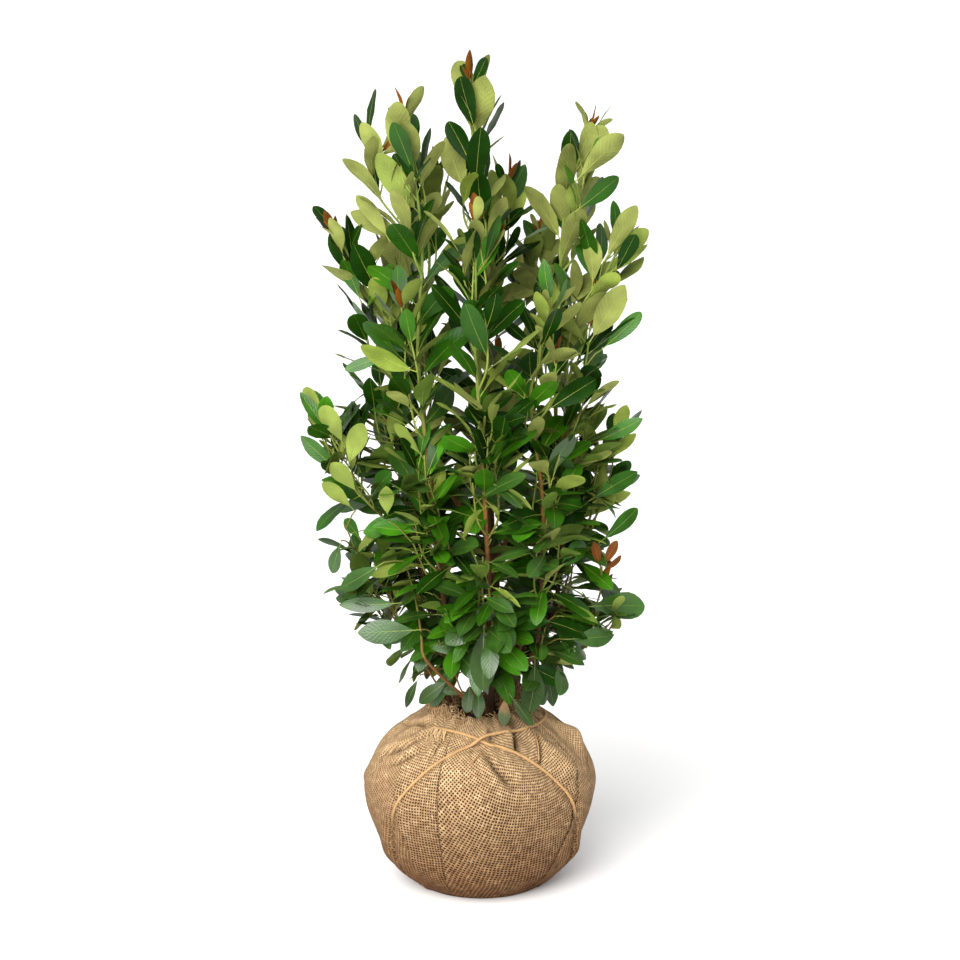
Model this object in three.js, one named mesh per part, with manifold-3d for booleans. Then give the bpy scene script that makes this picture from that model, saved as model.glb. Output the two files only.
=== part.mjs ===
// A laurel sapling of the kind grown for hedges, lifted with its root ball: several
// upright stems rise round one trunk out of a ball of soil wrapped in hessian and tied
// with twine. Millimetres, +Z up. The ball stands on its flat underside at z = 0, with
// the origin at the middle of that face. -Y is the front of the plant and +X its right.
import * as THREE from "three";
import { mergeVertices } from "three/addons/utils/BufferGeometryUtils.js";
import Module from "manifold-3d";

const wasm = await Module();
wasm.setup();

// ---- Driving dimensions ----
const GAP = 0.4; // free space between touching pieces

const BALL_RADIUS = 177; // widest part of the wrapped ball
const BALL_FOOT_RADIUS = 96; // flat underside
const BALL_RIM_HEIGHT = 284; // mouth of the cloth
const BALL_RIM_RADIUS = 63;
const CLOTH = 3; // the hessian with its folded layers
const SOIL_TOP = 262; // ground level of the plant
const SOIL_FLAT_RADIUS = 48; // level ground round the trunk
const TWINE_RADIUS = 2.4;
const TWINE_LIFT = 0.7; // between the twine and the cloth's rounded surface

const TRUNK_FOOT_RADIUS = 9.5;
const TRUNK_FLARE = 7; // added to the radius where the trunk meets the soil
const TRUNK_TIP_RADIUS = 3.2;
const TRUNK_TOP = 1015; // where the trunk enters the top mass

const CROWN_FLOOR = 300; // the lowest foliage, just clear of the gathered cloth
const CORE_RADIUS = 32; // open space round the trunk
const LOW_REACH = 70; // how far the stems stand from the trunk at the crown's foot
const BODY_REACH = 116; // and higher up, where they stand upright
const LEAN = 20; // each mass's tip leans out from its stem by so much

// Where one mass gives way to the next up a stem. Neighbouring stems are staggered.
const EVEN_STEM = [
  { part: "low", from: 326, to: 585, halfWidth: 68 },
  { part: "middle", from: 565, to: 840, halfWidth: 64 },
  { part: "top", from: 790, to: Infinity, halfWidth: 46 },
];
const ODD_STEM = [
  { part: "low", from: 316, to: 480, halfWidth: 64 },
  { part: "middle", from: 455, to: 745, halfWidth: 68 },
  { part: "upper", from: 715, to: 960, halfWidth: 58 },
  { part: "top", from: 885, to: Infinity, halfWidth: 46 },
];
// The upright stems, one to each sector: compass angle round the trunk and the place of
// the leading shoot's tip.
const STEMS = [
  { name: "right", turn: -5, parts: EVEN_STEM, tip: [233, 4, 1040] },
  { name: "back_right", turn: 34, parts: ODD_STEM, tip: [170, 46, 1208] },
  { name: "back", turn: 86, parts: EVEN_STEM, tip: [48, 92, 1128] },
  { name: "back_left", turn: 137, parts: ODD_STEM, tip: [-74, 84, 1136] },
  { name: "left", turn: 184, parts: EVEN_STEM, tip: [-232, -18, 1052] },
  { name: "front_left", turn: 229, parts: ODD_STEM, tip: [-117, -46, 1234] },
  { name: "front", turn: 269, parts: EVEN_STEM, tip: [-8, -104, 1080] },
  { name: "front_right", turn: 311, parts: ODD_STEM.slice(0, 3), tip: [94, -72, 1034] },
];

// Side shoots that stand clear of their stem, each from its foot to its tip.
const SIDE_SHOOTS = [
  { name: "left_tip", foot: [-134, -46, 1056], tip: [-194, -38, 1184], halfWidth: 25 },
  { name: "left_shoulder", foot: [-158, -34, 600], tip: [-252, -58, 776], halfWidth: 38 },
  { name: "left_skirt", foot: [-122, -34, 388], tip: [-206, -48, 604], halfWidth: 44 },
  { name: "right_shoulder", foot: [150, 10, 548], tip: [204, 26, 744], halfWidth: 38 },
  { name: "right_skirt", foot: [126, -30, 394], tip: [248, -62, 470], halfWidth: 38 },
  { name: "rear_left", foot: [-96, 118, 800], tip: [-148, 168, 1004], halfWidth: 48 },
  { name: "rear_right", foot: [72, 122, 830], tip: [98, 178, 1040], halfWidth: 48 },
];
const CENTRE_TIP = new THREE.Vector3(-18, 0, 1288);
const CENTRE_HALF_WIDTH = 47;

// ---- Helpers ----
const radians = THREE.MathUtils.degToRad;
const vector = (values) => new THREE.Vector3(...values);

// A point at a compass angle and a distance from a centre, at its own height.
function around(centre, turn, reach, height) {
  const angle = radians(turn);
  return new THREE.Vector3(
    centre.x + reach * Math.cos(angle),
    centre.y + reach * Math.sin(angle),
    height,
  );
}

function manifoldOf(geometry) {
  const bare = geometry.clone();
  bare.deleteAttribute("normal");
  bare.deleteAttribute("uv");
  const merged = mergeVertices(bare, 1e-3);
  return new wasm.Manifold(
    new wasm.Mesh({
      numProp: 3,
      vertProperties: merged.attributes.position.array,
      triVerts: new Uint32Array(merged.index.array),
    }),
  );
}

function geometryOf(manifold) {
  const mesh = manifold.getMesh();
  const geometry = new THREE.BufferGeometry();
  geometry.setAttribute("position", new THREE.BufferAttribute(mesh.vertProperties, 3));
  geometry.setIndex(new THREE.BufferAttribute(mesh.triVerts, 1));
  geometry.computeVertexNormals();
  return geometry;
}

// The largest body left by a cut.
function largest(manifold) {
  return manifold.decompose().sort((a, b) => b.volume() - a.volume())[0];
}

// A closed cylinder bent along a curve, its radius given along the way. aside(t) is a
// direction that the cross-section keeps to, so that the sides don't twist.
function bentCylinder(curve, radiusAt, sides, steps, aside) {
  const geometry = new THREE.CylinderGeometry(1, 1, 1, sides, steps);
  const place = geometry.attributes.position;
  const corner = new THREE.Vector3();
  for (let i = 0; i < place.count; i++) {
    corner.fromBufferAttribute(place, i);
    const t = corner.y + 0.5;
    const along = curve.getTangent(t);
    const across = aside(t).clone();
    across.addScaledVector(along, -across.dot(along)).normalize();
    const over = new THREE.Vector3().crossVectors(along, across);
    const radius = radiusAt(t);
    const point = curve
      .getPoint(t)
      .addScaledVector(across, corner.x * radius)
      .addScaledVector(over, -corner.z * radius);
    place.setXYZ(i, point.x, point.y, point.z);
  }
  geometry.deleteAttribute("normal");
  geometry.deleteAttribute("uv");
  return geometry;
}

// ---- Materials ----
const finish = (color, roughness) =>
  new THREE.MeshStandardMaterial({ color, roughness, metalness: 0 });
const soilFinish = finish(0x2e2118, 0.95);
const hessianFinish = finish(0xb28d5f, 0.9);
const twineFinish = finish(0xc79f66, 0.8);
const barkFinish = finish(0x7a4a28, 0.75);
const foliageFinish = finish(0x3f6b2c, 0.45);

const plant = new THREE.Group();

function add(name, geometry, material) {
  const mesh = new THREE.Mesh(geometry, material);
  mesh.name = name;
  plant.add(mesh);
}

// ---- The root ball ----
// The cloth's outer outline from the edge of the flat underside up to its mouth.
const ballOutline = new THREE.SplineCurve([
  new THREE.Vector2(BALL_FOOT_RADIUS, 0),
  new THREE.Vector2(136, 33),
  new THREE.Vector2(161, 92),
  new THREE.Vector2(BALL_RADIUS, 163),
  new THREE.Vector2(156, 220),
  new THREE.Vector2(104, 262),
  new THREE.Vector2(BALL_RIM_RADIUS, BALL_RIM_HEIGHT),
]);
const OUTLINE_STEPS = 12;
const BALL_SIDES = 28;

// Soft bulges of the packed soil between the ties. The underside stays round and flat.
function bulge(angle, height) {
  const fullness = Math.sin(Math.PI * THREE.MathUtils.clamp(height / BALL_RIM_HEIGHT, 0, 1));
  return (
    1 +
    fullness * (0.014 * Math.cos(2 * angle + 0.4) + 0.012 * Math.cos(5 * angle + 1.3))
  );
}

function ballRadius(height) {
  let low = 0;
  let high = 1;
  for (let i = 0; i < 24; i++) {
    const middle = (low + high) / 2;
    if (ballOutline.getPoint(middle).y < height) low = middle;
    else high = middle;
  }
  return ballOutline.getPoint(low).x;
}

// A point on the cloth, lifted off it by so much.
function onBall(turn, height, lift) {
  const angle = radians(turn);
  const step = 1;
  const slope = (ballRadius(height + step) - ballRadius(height - step)) / (2 * step);
  const outward = 1 / Math.hypot(1, slope);
  const radius = ballRadius(height) * bulge(angle, height) + lift * outward;
  return new THREE.Vector3(
    radius * Math.cos(angle),
    radius * Math.sin(angle),
    height - lift * slope * outward,
  );
}

// A turned solid with the ball's bulges, from a profile of (radius, height).
function turned(profile, sides = BALL_SIDES) {
  const geometry = new THREE.LatheGeometry(profile, sides);
  geometry.rotateX(Math.PI / 2);
  const place = geometry.attributes.position;
  for (let i = 0; i < place.count; i++) {
    const x = place.getX(i);
    const y = place.getY(i);
    const swell = bulge(Math.atan2(y, x), place.getZ(i));
    place.setXYZ(i, x * swell, y * swell, place.getZ(i));
  }
  geometry.deleteAttribute("normal");
  geometry.deleteAttribute("uv");
  return geometry;
}

// The outline moved inwards, square to itself, in fewer steps than the outside has.
function inset(depth) {
  const steps = OUTLINE_STEPS / 2;
  return ballOutline.getPoints(steps).map((point, i) => {
    const along = ballOutline.getTangent(i / steps);
    return new THREE.Vector2(point.x - along.y * depth, point.y + along.x * depth);
  });
}

function wrap() {
  const outer = ballOutline.getPoints(OUTLINE_STEPS);
  const inner = inset(CLOTH).slice(1).reverse();
  return turned([
    new THREE.Vector2(0, 0),
    ...outer,
    ...inner,
    new THREE.Vector2(BALL_FOOT_RADIUS - CLOTH, CLOTH),
    new THREE.Vector2(0, CLOTH),
  ]);
}

function soil() {
  const depth = CLOTH + 2 * GAP;
  const wall = inset(depth).filter((p) => p.y > 10 && p.y < SOIL_TOP);
  return turned([
    new THREE.Vector2(0, depth),
    new THREE.Vector2(BALL_FOOT_RADIUS - 2 * depth, depth),
    ...wall,
    new THREE.Vector2(SOIL_FLAT_RADIUS, SOIL_TOP),
    new THREE.Vector2(0, SOIL_TOP),
  ]);
}

// The gathered neck of the cloth: a ruffled ring that lies on the ball's shoulder.
const COLLAR_OUTER_HEIGHT = 268;
const COLLAR_THICKNESS = 14;
const COLLAR_RUFFLES = 7;

function collar() {
  const steps = 4;
  const top = BALL_RIM_HEIGHT - 1;
  const under = [];
  const over = [];
  for (let i = 0; i <= steps; i++) {
    const height = THREE.MathUtils.lerp(COLLAR_OUTER_HEIGHT, top, i / steps);
    const rest = onBall(0, height, GAP);
    const crest = onBall(0, height, GAP + COLLAR_THICKNESS * (0.75 + 0.25 * (i / steps)));
    const flat = bulge(0, height);
    under.push(new THREE.Vector2(rest.x / flat, rest.z));
    over.push(new THREE.Vector2(crest.x / flat, crest.z));
  }
  const profile = [...over, ...under.reverse(), over[0].clone()];
  const geometry = turned(profile);
  const place = geometry.attributes.position;
  for (let i = 0; i < place.count; i++) {
    const x = place.getX(i);
    const y = place.getY(i);
    const z = place.getZ(i);
    const angle = Math.atan2(y, x);
    const seat = onBall(THREE.MathUtils.radToDeg(angle), THREE.MathUtils.clamp(z, 262, top), 0);
    const height = Math.max(0, z - seat.z - GAP - 1);
    const ruffle = 1 + 0.3 * Math.sin(COLLAR_RUFFLES * angle) + 0.18 * Math.sin(4 * angle + 1);
    place.setZ(i, z + height * (ruffle - 1) * 0.8);
  }
  return geometry;
}

add("soil_core", soil(), soilFinish);
add("hessian_wrap", wrap(), hessianFinish);
add("gathered_collar", collar(), hessianFinish);

// ---- The twine ----
// Four strands run from the neck down the ball's sides, each a quarter of an ellipse on
// the cloth, and a ring goes round the neck below the collar.
const STRAND_TOP = 248;
const STRAND_FOOT = 14;
const STRANDS = [
  { name: "front_left", from: 268, sweep: -57 },
  { name: "front_right", from: 274, sweep: 63 },
  { name: "back_left", from: 92, sweep: 55 },
  { name: "back_right", from: 86, sweep: -60 },
];

class OnBall extends THREE.Curve {
  constructor(turnAt, heightAt, lift) {
    super();
    Object.assign(this, { turnAt, heightAt, lift });
  }
  getPoint(t) {
    return onBall(this.turnAt(t), this.heightAt(t), this.lift);
  }
}

for (const { name, from, sweep } of STRANDS) {
  const down = (t) => Math.sin((t * Math.PI) / 2);
  const path = new OnBall(
    (t) => from + sweep * down(t),
    (t) => STRAND_FOOT + (STRAND_TOP - STRAND_FOOT) * Math.cos((t * Math.PI) / 2),
    TWINE_RADIUS + TWINE_LIFT,
  );
  const outward = (t) => path.getPoint(t).setZ(0);
  add(`twine_${name}`, bentCylinder(path, () => TWINE_RADIUS, 5, 16, outward), twineFinish);
}

const NECK_HEIGHT = 262;
const NECK_DIP = 6; // the ring is pulled down at the front and back, where the strands start
const NECK_STEPS = 28;

// The neck ring is a closed loop, so it is an extruded section.
function neckRing() {
  const points = Array.from({ length: NECK_STEPS }, (_, i) => {
    const turn = (360 * i) / NECK_STEPS;
    const pull = Math.abs(Math.sin(radians(turn))) ** 14;
    return onBall(turn, NECK_HEIGHT - NECK_DIP * pull, TWINE_RADIUS + TWINE_LIFT);
  });
  const path = new THREE.CatmullRomCurve3(points, true);
  const section = new THREE.Shape().absarc(0, 0, TWINE_RADIUS, 0, 2 * Math.PI);
  const geometry = new THREE.ExtrudeGeometry(section, {
    curveSegments: 3,
    steps: NECK_STEPS,
    extrudePath: path,
  });
  return geometry;
}
add("twine_neck", neckRing(), twineFinish);

// ---- The trunk ----
const trunkPath = new THREE.CatmullRomCurve3([
  new THREE.Vector3(10, 4, SOIL_TOP + GAP),
  new THREE.Vector3(16, 4, 320),
  new THREE.Vector3(27, 2, 414),
  new THREE.Vector3(15, 2, 515),
  new THREE.Vector3(6, 0, 610),
  new THREE.Vector3(-3, 0, 800),
  new THREE.Vector3(-7, 2, TRUNK_TOP),
]);

function trunkRadius(t) {
  const taper = THREE.MathUtils.lerp(TRUNK_FOOT_RADIUS, TRUNK_TIP_RADIUS, t);
  return taper + TRUNK_FLARE * Math.exp(-t / 0.035);
}

// The trunk is built upright round its path, ring by ring, so that its foot is level.
function trunkSolid(extra) {
  const geometry = new THREE.CylinderGeometry(1, 1, 1, 8, 22);
  const place = geometry.attributes.position;
  for (let i = 0; i < place.count; i++) {
    const t = place.getY(i) + 0.5;
    const middle = trunkPath.getPoint(t);
    const radius = trunkRadius(t) + extra;
    place.setXYZ(
      i,
      middle.x + place.getX(i) * radius,
      middle.y - place.getZ(i) * radius,
      middle.z + (t > 0.999 ? extra : 0),
    );
  }
  geometry.deleteAttribute("normal");
  geometry.deleteAttribute("uv");
  return geometry;
}
add("trunk", trunkSolid(0), barkFinish);

function trunkAt(height) {
  let best = trunkPath.getPoint(0);
  for (let i = 0; i <= 100; i++) {
    const point = trunkPath.getPoint(i / 100);
    if (Math.abs(point.z - height) < Math.abs(best.z - height)) best = point;
  }
  return best;
}

// ---- The masses of foliage ----
// Each mass is an uneven spindle round an axis from its foot to its tip. Neighbours are
// parted by a plane between them, so that they meet face to face across the gap.
const masses = [];
const TAPER = -0.22; // a mass is narrower towards its tip

function mass(name, foot, tip, halfWidth, egg = 0) {
  const along = tip.clone().sub(foot);
  masses.push({
    name,
    middle: foot.clone().lerp(tip, 0.5),
    axis: along.clone().normalize(),
    halfLength: along.length() / 2,
    halfWidth,
    egg,
    seed: masses.length * 1.7 + 0.6,
    walls: [],
  });
}

// The line that a stem follows from the trunk's foot to the tip of its leading shoot.
function stemPath({ turn, tip }) {
  return new THREE.CatmullRomCurve3([
    around(trunkAt(300), turn, LOW_REACH * 0.7, 300),
    around(trunkAt(380), turn, LOW_REACH + 14, 380),
    around(trunkAt(520), turn, BODY_REACH, 520),
    around(trunkAt(800), turn, BODY_REACH + 4, 800),
    vector(tip),
  ]);
}

function atHeight(path, height) {
  let low = 0;
  let high = 1;
  for (let i = 0; i < 24; i++) {
    const middle = (low + high) / 2;
    if (path.getPoint(middle).z < height) low = middle;
    else high = middle;
  }
  return path.getPoint(low);
}

STEMS.forEach((stem) => {
  const path = stemPath(stem);
  for (const { part, from, to, halfWidth } of stem.parts) {
    const foot = atHeight(path, from);
    const tip = atHeight(path, to);
    if (tip.z < stem.tip[2] - 1) tip.copy(around(tip, stem.turn, LEAN, tip.z));
    mass(`foliage_${stem.name}_${part}`, foot, tip, halfWidth, TAPER);
  }
});
for (const { name, foot, tip, halfWidth } of SIDE_SHOOTS)
  mass(`foliage_${name}`, vector(foot), vector(tip), halfWidth, TAPER);
mass(
  "foliage_centre_top",
  trunkAt(TRUNK_TOP).clone().setZ(TRUNK_TOP - 80),
  CENTRE_TIP,
  CENTRE_HALF_WIDTH,
  TAPER,
);

// The square of a mass's spread in each direction, as a matrix.
function spread({ axis, halfLength, halfWidth }) {
  const extra = halfLength ** 2 - halfWidth ** 2;
  const [x, y, z] = axis.toArray();
  const side = halfWidth ** 2;
  return [
    [side + extra * x * x, extra * x * y, extra * x * z],
    [extra * y * x, side + extra * y * y, extra * y * z],
    [extra * z * x, extra * z * y, side + extra * z * z],
  ];
}

// How far a mass reaches from its middle along a direction.
function reachAlong({ axis, halfLength, halfWidth }, direction) {
  const along = direction.dot(axis);
  const across = Math.sqrt(Math.max(0, 1 - along * along));
  return Math.hypot(along * halfLength, across * halfWidth);
}

function partingPlane(one, other) {
  const a = spread(one);
  const b = spread(other);
  const both = new THREE.Matrix3().set(
    ...[0, 1, 2].flatMap((i) => [0, 1, 2].map((j) => a[i][j] + b[i][j])),
  );
  const between = other.middle.clone().sub(one.middle);
  const normal = between.clone().applyMatrix3(both.invert()).normalize();
  const apart = between.dot(normal);
  const reachOne = reachAlong(one, normal);
  const reachOther = reachAlong(other, normal);
  if ((reachOne + reachOther) * 1.25 < apart) return;
  const share = reachOne / (reachOne + reachOther);
  const level = one.middle.dot(normal) + apart * share;
  one.walls.push({ normal, level: level - GAP / 2 });
  other.walls.push({ normal: normal.clone().negate(), level: -level - GAP / 2 });
}
masses.forEach((one, i) => masses.slice(i + 1).forEach((other) => partingPlane(one, other)));

// The rings stay outside the open core round the trunk.
for (const one of masses) {
  if (one.name === "foliage_centre_top") continue;
  const trunk = trunkAt(one.middle.z);
  const inward = trunk.clone().sub(one.middle).setZ(0);
  const apart = inward.length();
  const normal = inward.normalize();
  one.walls.push({ normal, level: one.middle.dot(normal) + apart - CORE_RADIUS });
}
// Nothing hangs below the collar.
for (const one of masses)
  one.walls.push({ normal: new THREE.Vector3(0, 0, -1), level: -CROWN_FLOOR });

// A few slow waves over the directions make each mass uneven in its own way.
function unevenness({ x, y, z }, seed) {
  return (
    0.11 * Math.sin(3.1 * x + 2.3 * seed) * Math.cos(2.7 * y - seed) +
    0.09 * Math.sin(4.9 * z + 3.7 * x + 1.9 * seed) +
    0.07 * Math.cos(6.3 * y + 5.1 * z - 1.3 * seed)
  );
}

const SQUARENESS = 2.25; // 2 is an ellipsoid, more is fuller at the ends

function massReach(one, direction) {
  const along = direction.dot(one.axis);
  const across = Math.sqrt(Math.max(0, 1 - along * along));
  const width = one.halfWidth * (1 + one.egg * along);
  const plain =
    ((Math.abs(along) / one.halfLength) ** SQUARENESS + (across / width) ** SQUARENESS) **
    (-1 / SQUARENESS);
  const lumps = 1 + unevenness(direction, one.seed) * (1 - along ** 6);
  return one.walls.reduce((reach, { normal, level }) => {
    const towards = direction.dot(normal);
    if (towards <= 1e-6) return reach;
    return Math.min(reach, (level - one.middle.dot(normal)) / towards);
  }, plain * lumps);
}

const UP = new THREE.Vector3(0, 1, 0); // the pole of a sphere geometry

function massSolid(one, extra = 0) {
  const geometry = new THREE.SphereGeometry(1, 10, 8);
  const turn = new THREE.Quaternion().setFromUnitVectors(UP, one.axis);
  const place = geometry.attributes.position;
  const direction = new THREE.Vector3();
  for (let i = 0; i < place.count; i++) {
    direction.fromBufferAttribute(place, i);
    direction.y *= one.halfLength / one.halfWidth;
    direction.normalize().applyQuaternion(turn);
    const reach = massReach(one, direction) + extra;
    const point = one.middle.clone().addScaledVector(direction, reach);
    place.setXYZ(i, point.x, point.y, point.z);
  }
  geometry.deleteAttribute("normal");
  geometry.deleteAttribute("uv");
  return geometry;
}

// The trunk runs on up inside the top mass, which is cut round it.
const grownTrunk = manifoldOf(trunkSolid(GAP));
for (const one of masses) {
  const whole = manifoldOf(massSolid(one));
  const clear = whole.intersect(grownTrunk).isEmpty();
  add(one.name, geometryOf(clear ? whole : whole.subtract(grownTrunk)), foliageFinish);
}

// ---- The boughs ----
// Each leaves the trunk steeply and ends where it enters its mass.
const BOUGH_FOOT_RADIUS = 4.6;
const BOUGH_END_RADIUS = 3.1;
const grownMasses = new Map(masses.map((one) => [one.name, manifoldOf(massSolid(one, GAP))]));

function bough(name, massName, turn, footHeight) {
  const target = masses.find((one) => one.name === massName).middle;
  const foot = trunkAt(footHeight);
  const rise = target.z - foot.z;
  const knee = around(foot, turn, 26, foot.z + 0.32 * rise);
  const path = new THREE.QuadraticBezierCurve3(foot.clone(), knee, target.clone());
  const radiusAt = (t) => THREE.MathUtils.lerp(BOUGH_FOOT_RADIUS, BOUGH_END_RADIUS, t);
  const sideways = around(new THREE.Vector3(), turn + 90, 1, 0);
  const solid = bentCylinder(path, radiusAt, 6, 8, () => sideways);
  let cut = manifoldOf(solid).subtract(grownTrunk);
  for (const grown of grownMasses.values()) cut = cut.subtract(grown);
  const pieces = cut.decompose();
  pieces.sort((a, b) => a.boundingBox().min[2] - b.boundingBox().min[2]);
  add(name, geometryOf(pieces.find((p) => p.volume() > 500)), barkFinish);
}

const LOW_FEET = 286; // lowest foot of the lower boughs
const FEET_STEP = 10;
const UPPER_FEET = 500;
STEMS.forEach(({ name, turn }, i) => {
  const stagger = (3 * i) % STEMS.length; // neighbours leave the trunk at different heights
  bough(`bough_${name}`, `foliage_${name}_low`, turn, LOW_FEET + FEET_STEP * stagger);
  if (i % 2 === 0)
    bough(`upper_bough_${name}`, `foliage_${name}_middle`, turn, UPPER_FEET + FEET_STEP * i);
});

export default plant;
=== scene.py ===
"""A laurel sapling with its root ball wrapped in hessian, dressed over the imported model."""

import math

import bpy
import numpy as np
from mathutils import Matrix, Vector
from mathutils.bvhtree import BVHTree


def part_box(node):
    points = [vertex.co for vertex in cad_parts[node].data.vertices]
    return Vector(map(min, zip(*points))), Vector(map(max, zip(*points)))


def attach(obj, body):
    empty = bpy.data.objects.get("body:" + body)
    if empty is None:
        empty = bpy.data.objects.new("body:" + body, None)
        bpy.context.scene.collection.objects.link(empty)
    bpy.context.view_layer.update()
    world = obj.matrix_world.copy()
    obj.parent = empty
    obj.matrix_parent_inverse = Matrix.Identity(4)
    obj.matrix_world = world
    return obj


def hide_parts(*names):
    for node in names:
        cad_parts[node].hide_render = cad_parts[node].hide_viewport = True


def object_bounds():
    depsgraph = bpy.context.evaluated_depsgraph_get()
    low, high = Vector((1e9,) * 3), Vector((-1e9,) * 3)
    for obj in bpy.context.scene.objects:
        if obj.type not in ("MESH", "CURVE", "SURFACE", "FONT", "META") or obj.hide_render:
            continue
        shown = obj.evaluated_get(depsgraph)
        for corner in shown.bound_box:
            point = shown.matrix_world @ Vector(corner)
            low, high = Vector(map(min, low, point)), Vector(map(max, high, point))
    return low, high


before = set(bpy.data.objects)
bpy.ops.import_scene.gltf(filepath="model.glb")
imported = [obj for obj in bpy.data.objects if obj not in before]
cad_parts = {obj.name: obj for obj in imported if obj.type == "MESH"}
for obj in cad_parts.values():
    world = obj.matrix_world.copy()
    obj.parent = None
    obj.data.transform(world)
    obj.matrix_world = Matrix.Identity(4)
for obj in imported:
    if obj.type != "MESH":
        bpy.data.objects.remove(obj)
cad_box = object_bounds()


# ---- The hessian round the root ball ----
# A square of open jute cloth, drawn up round the soil from below and gathered at the neck.
# It lies in overlapping panels, each with its threads at its own slant, pleated at the top.


def points_of(node):
    """The corners of a CAD node, in metres."""
    return np.array([v.co[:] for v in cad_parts[node].data.vertices])


def faces_of(node):
    """The faces of a CAD node."""
    return [tuple(p.vertices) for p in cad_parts[node].data.polygons]


def tree_of(points, faces):
    """A surface as a tree to cast rays at."""
    faces = [tuple(int(i) for i in face) for face in faces]
    return BVHTree.FromPolygons([tuple(p) for p in points], faces)


def outward_at(turn, up=0.0):
    """The way out from the plant's axis at an angle, with so much rise."""
    return np.array([math.cos(turn), math.sin(turn), up])


def all_round(count):
    """Angles evenly spaced all the way round."""
    return np.linspace(0, 2 * math.pi, count, endpoint=False)


def past(turn, other):
    """How far one angle is past another, the shorter way round."""
    return (turn - other + math.pi) % (2 * math.pi) - math.pi


def round_axis(radius, turn, height):
    """Points at distances, angles and heights round the plant's axis."""
    return np.stack([radius * np.cos(turn), radius * np.sin(turn), height], -1)


def gauss(value, width):
    """1 where the value is nothing, falling to 0 over the width on both sides."""
    return np.exp(-((value / width) ** 2))


def grid_faces(rows, columns, start=0, closed=False):
    """Faces between neighbouring points of a grid, kept row by row."""
    r, c = np.indices((rows - 1, columns if closed else columns - 1)).reshape(2, -1)
    beside = (c + 1) % columns
    low, high = r * columns + start, (r + 1) * columns + start
    return np.stack([low + c, low + beside, high + beside, high + c], 1)


def smooth_noise(seed, *coordinates, waves=6, reach=3.0):
    """A few slow random waves over the coordinates, between about -1 and 1."""
    chance = np.random.default_rng(seed)
    total = np.zeros(np.broadcast(*coordinates).shape)
    for _ in range(waves):
        phase = chance.uniform(0, 2 * math.pi)
        for value in coordinates:
            phase = phase + chance.normal(0, reach) * value
        total = total + np.sin(phase)
    return total / math.sqrt(waves)


CLOTH_ROWS = 150
ball_low, ball_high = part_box("hessian_wrap")
rim_height = ball_high.z
ball_width = (ball_high.x - ball_low.x) / 2
wrap_tree = tree_of(points_of("hessian_wrap"), faces_of("hessian_wrap"))

# The ball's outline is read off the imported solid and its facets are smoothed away.
OUTLINE_TURNS = 84
OUTLINE_HEIGHTS = 60
outline_heights = np.linspace(0.002, rim_height - 0.002, OUTLINE_HEIGHTS)
outline = np.zeros((OUTLINE_HEIGHTS, OUTLINE_TURNS))
for row, height in enumerate(outline_heights):
    for column in range(OUTLINE_TURNS):
        outward = Vector(outward_at(2 * math.pi * column / OUTLINE_TURNS))
        hit = wrap_tree.ray_cast(outward + Vector((0, 0, height)), -outward)[0]
        outline[row, column] = hit.xy.length
for _ in range(3):
    outline = (outline + np.roll(outline, 1, 1) + np.roll(outline, -1, 1)) / 3
    outline[1:-1] = (outline[:-2] + outline[1:-1] + outline[2:]) / 3


def ball_radius(turn, height):
    """The ball's radius at an angle in radians and a height."""
    row = np.interp(height, outline_heights, np.arange(OUTLINE_HEIGHTS))
    column = (np.asarray(turn) / (2 * math.pi) * OUTLINE_TURNS) % OUTLINE_TURNS
    r0 = np.minimum(row.astype(int), OUTLINE_HEIGHTS - 2)
    c0 = np.floor(column).astype(int) % OUTLINE_TURNS
    c1 = (c0 + 1) % OUTLINE_TURNS
    fr, fc = row - r0, column - np.floor(column)
    below = outline[r0, c0] * (1 - fc) + outline[r0, c1] * fc
    above = outline[r0 + 1, c0] * (1 - fc) + outline[r0 + 1, c1] * fc
    return below * (1 - fr) + above * fr


def outline_normal(turn, height):
    """The ball's radius at a place, and the outward and upward parts of its normal."""
    near = 0.006
    slope = (ball_radius(turn, height + near) - ball_radius(turn, height - near)) / (2 * near)
    slope = np.clip(slope, -4.0, 1.2)
    size = np.hypot(1, slope)
    return ball_radius(turn, height), 1 / size, np.maximum(-slope / size, -0.2)


# The way up the side: most of the height is climbed near the widest part.
climb = np.linspace(0, 1, CLOTH_ROWS)
side_heights = (rim_height - 0.003) * (0.5 - 0.5 * np.cos(math.pi * (0.04 + 0.96 * climb)))
side_radii = ball_radius(0.0, side_heights)
side_steps = np.hypot(np.diff(side_heights), np.diff(side_radii))
side_lengths = np.concatenate([[0], np.cumsum(side_steps)])

FRONT = -math.pi / 2
WAIST = 0.145  # height of the ball's widest part
waist_length = float(np.interp(WAIST, side_heights, side_lengths))


def front_turn(degrees):
    """The angle so many degrees right of the front."""
    return FRONT + math.radians(degrees)


# Each panel: where its upper edge lies at the ball's waist, in degrees right of the front,
# how far that edge swings towards the front at the neck, the place that its threads are
# pulled towards (how far right of its middle, and how far above the waist), how far its
# edge stands off the cloth that it covers, and whether its threads have closed up.
PANELS = [
    (-49, 18, 0.03, 0.55, 0.0022, 0),
    (-24.5, 1.5, 0.045, 0.21, 0.0046, 0),
    (54, -26, -0.16, 0.34, 0.0012, 1),
    (96, -18, 0.05, 0.26, 0.0030, 1),
    (142, -10, -0.03, 0.50, 0.0040, 0),
    (186, -8, -0.07, 0.22, 0.0022, 1),
    (232, 16, 0.04, 0.60, 0.0044, 0),
    (277, 20, 0.17, 0.32, 0.0030, 1),
]
PANEL_COLUMNS = 62
LAP = 7.0  # degrees by which a panel goes under the next

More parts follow.
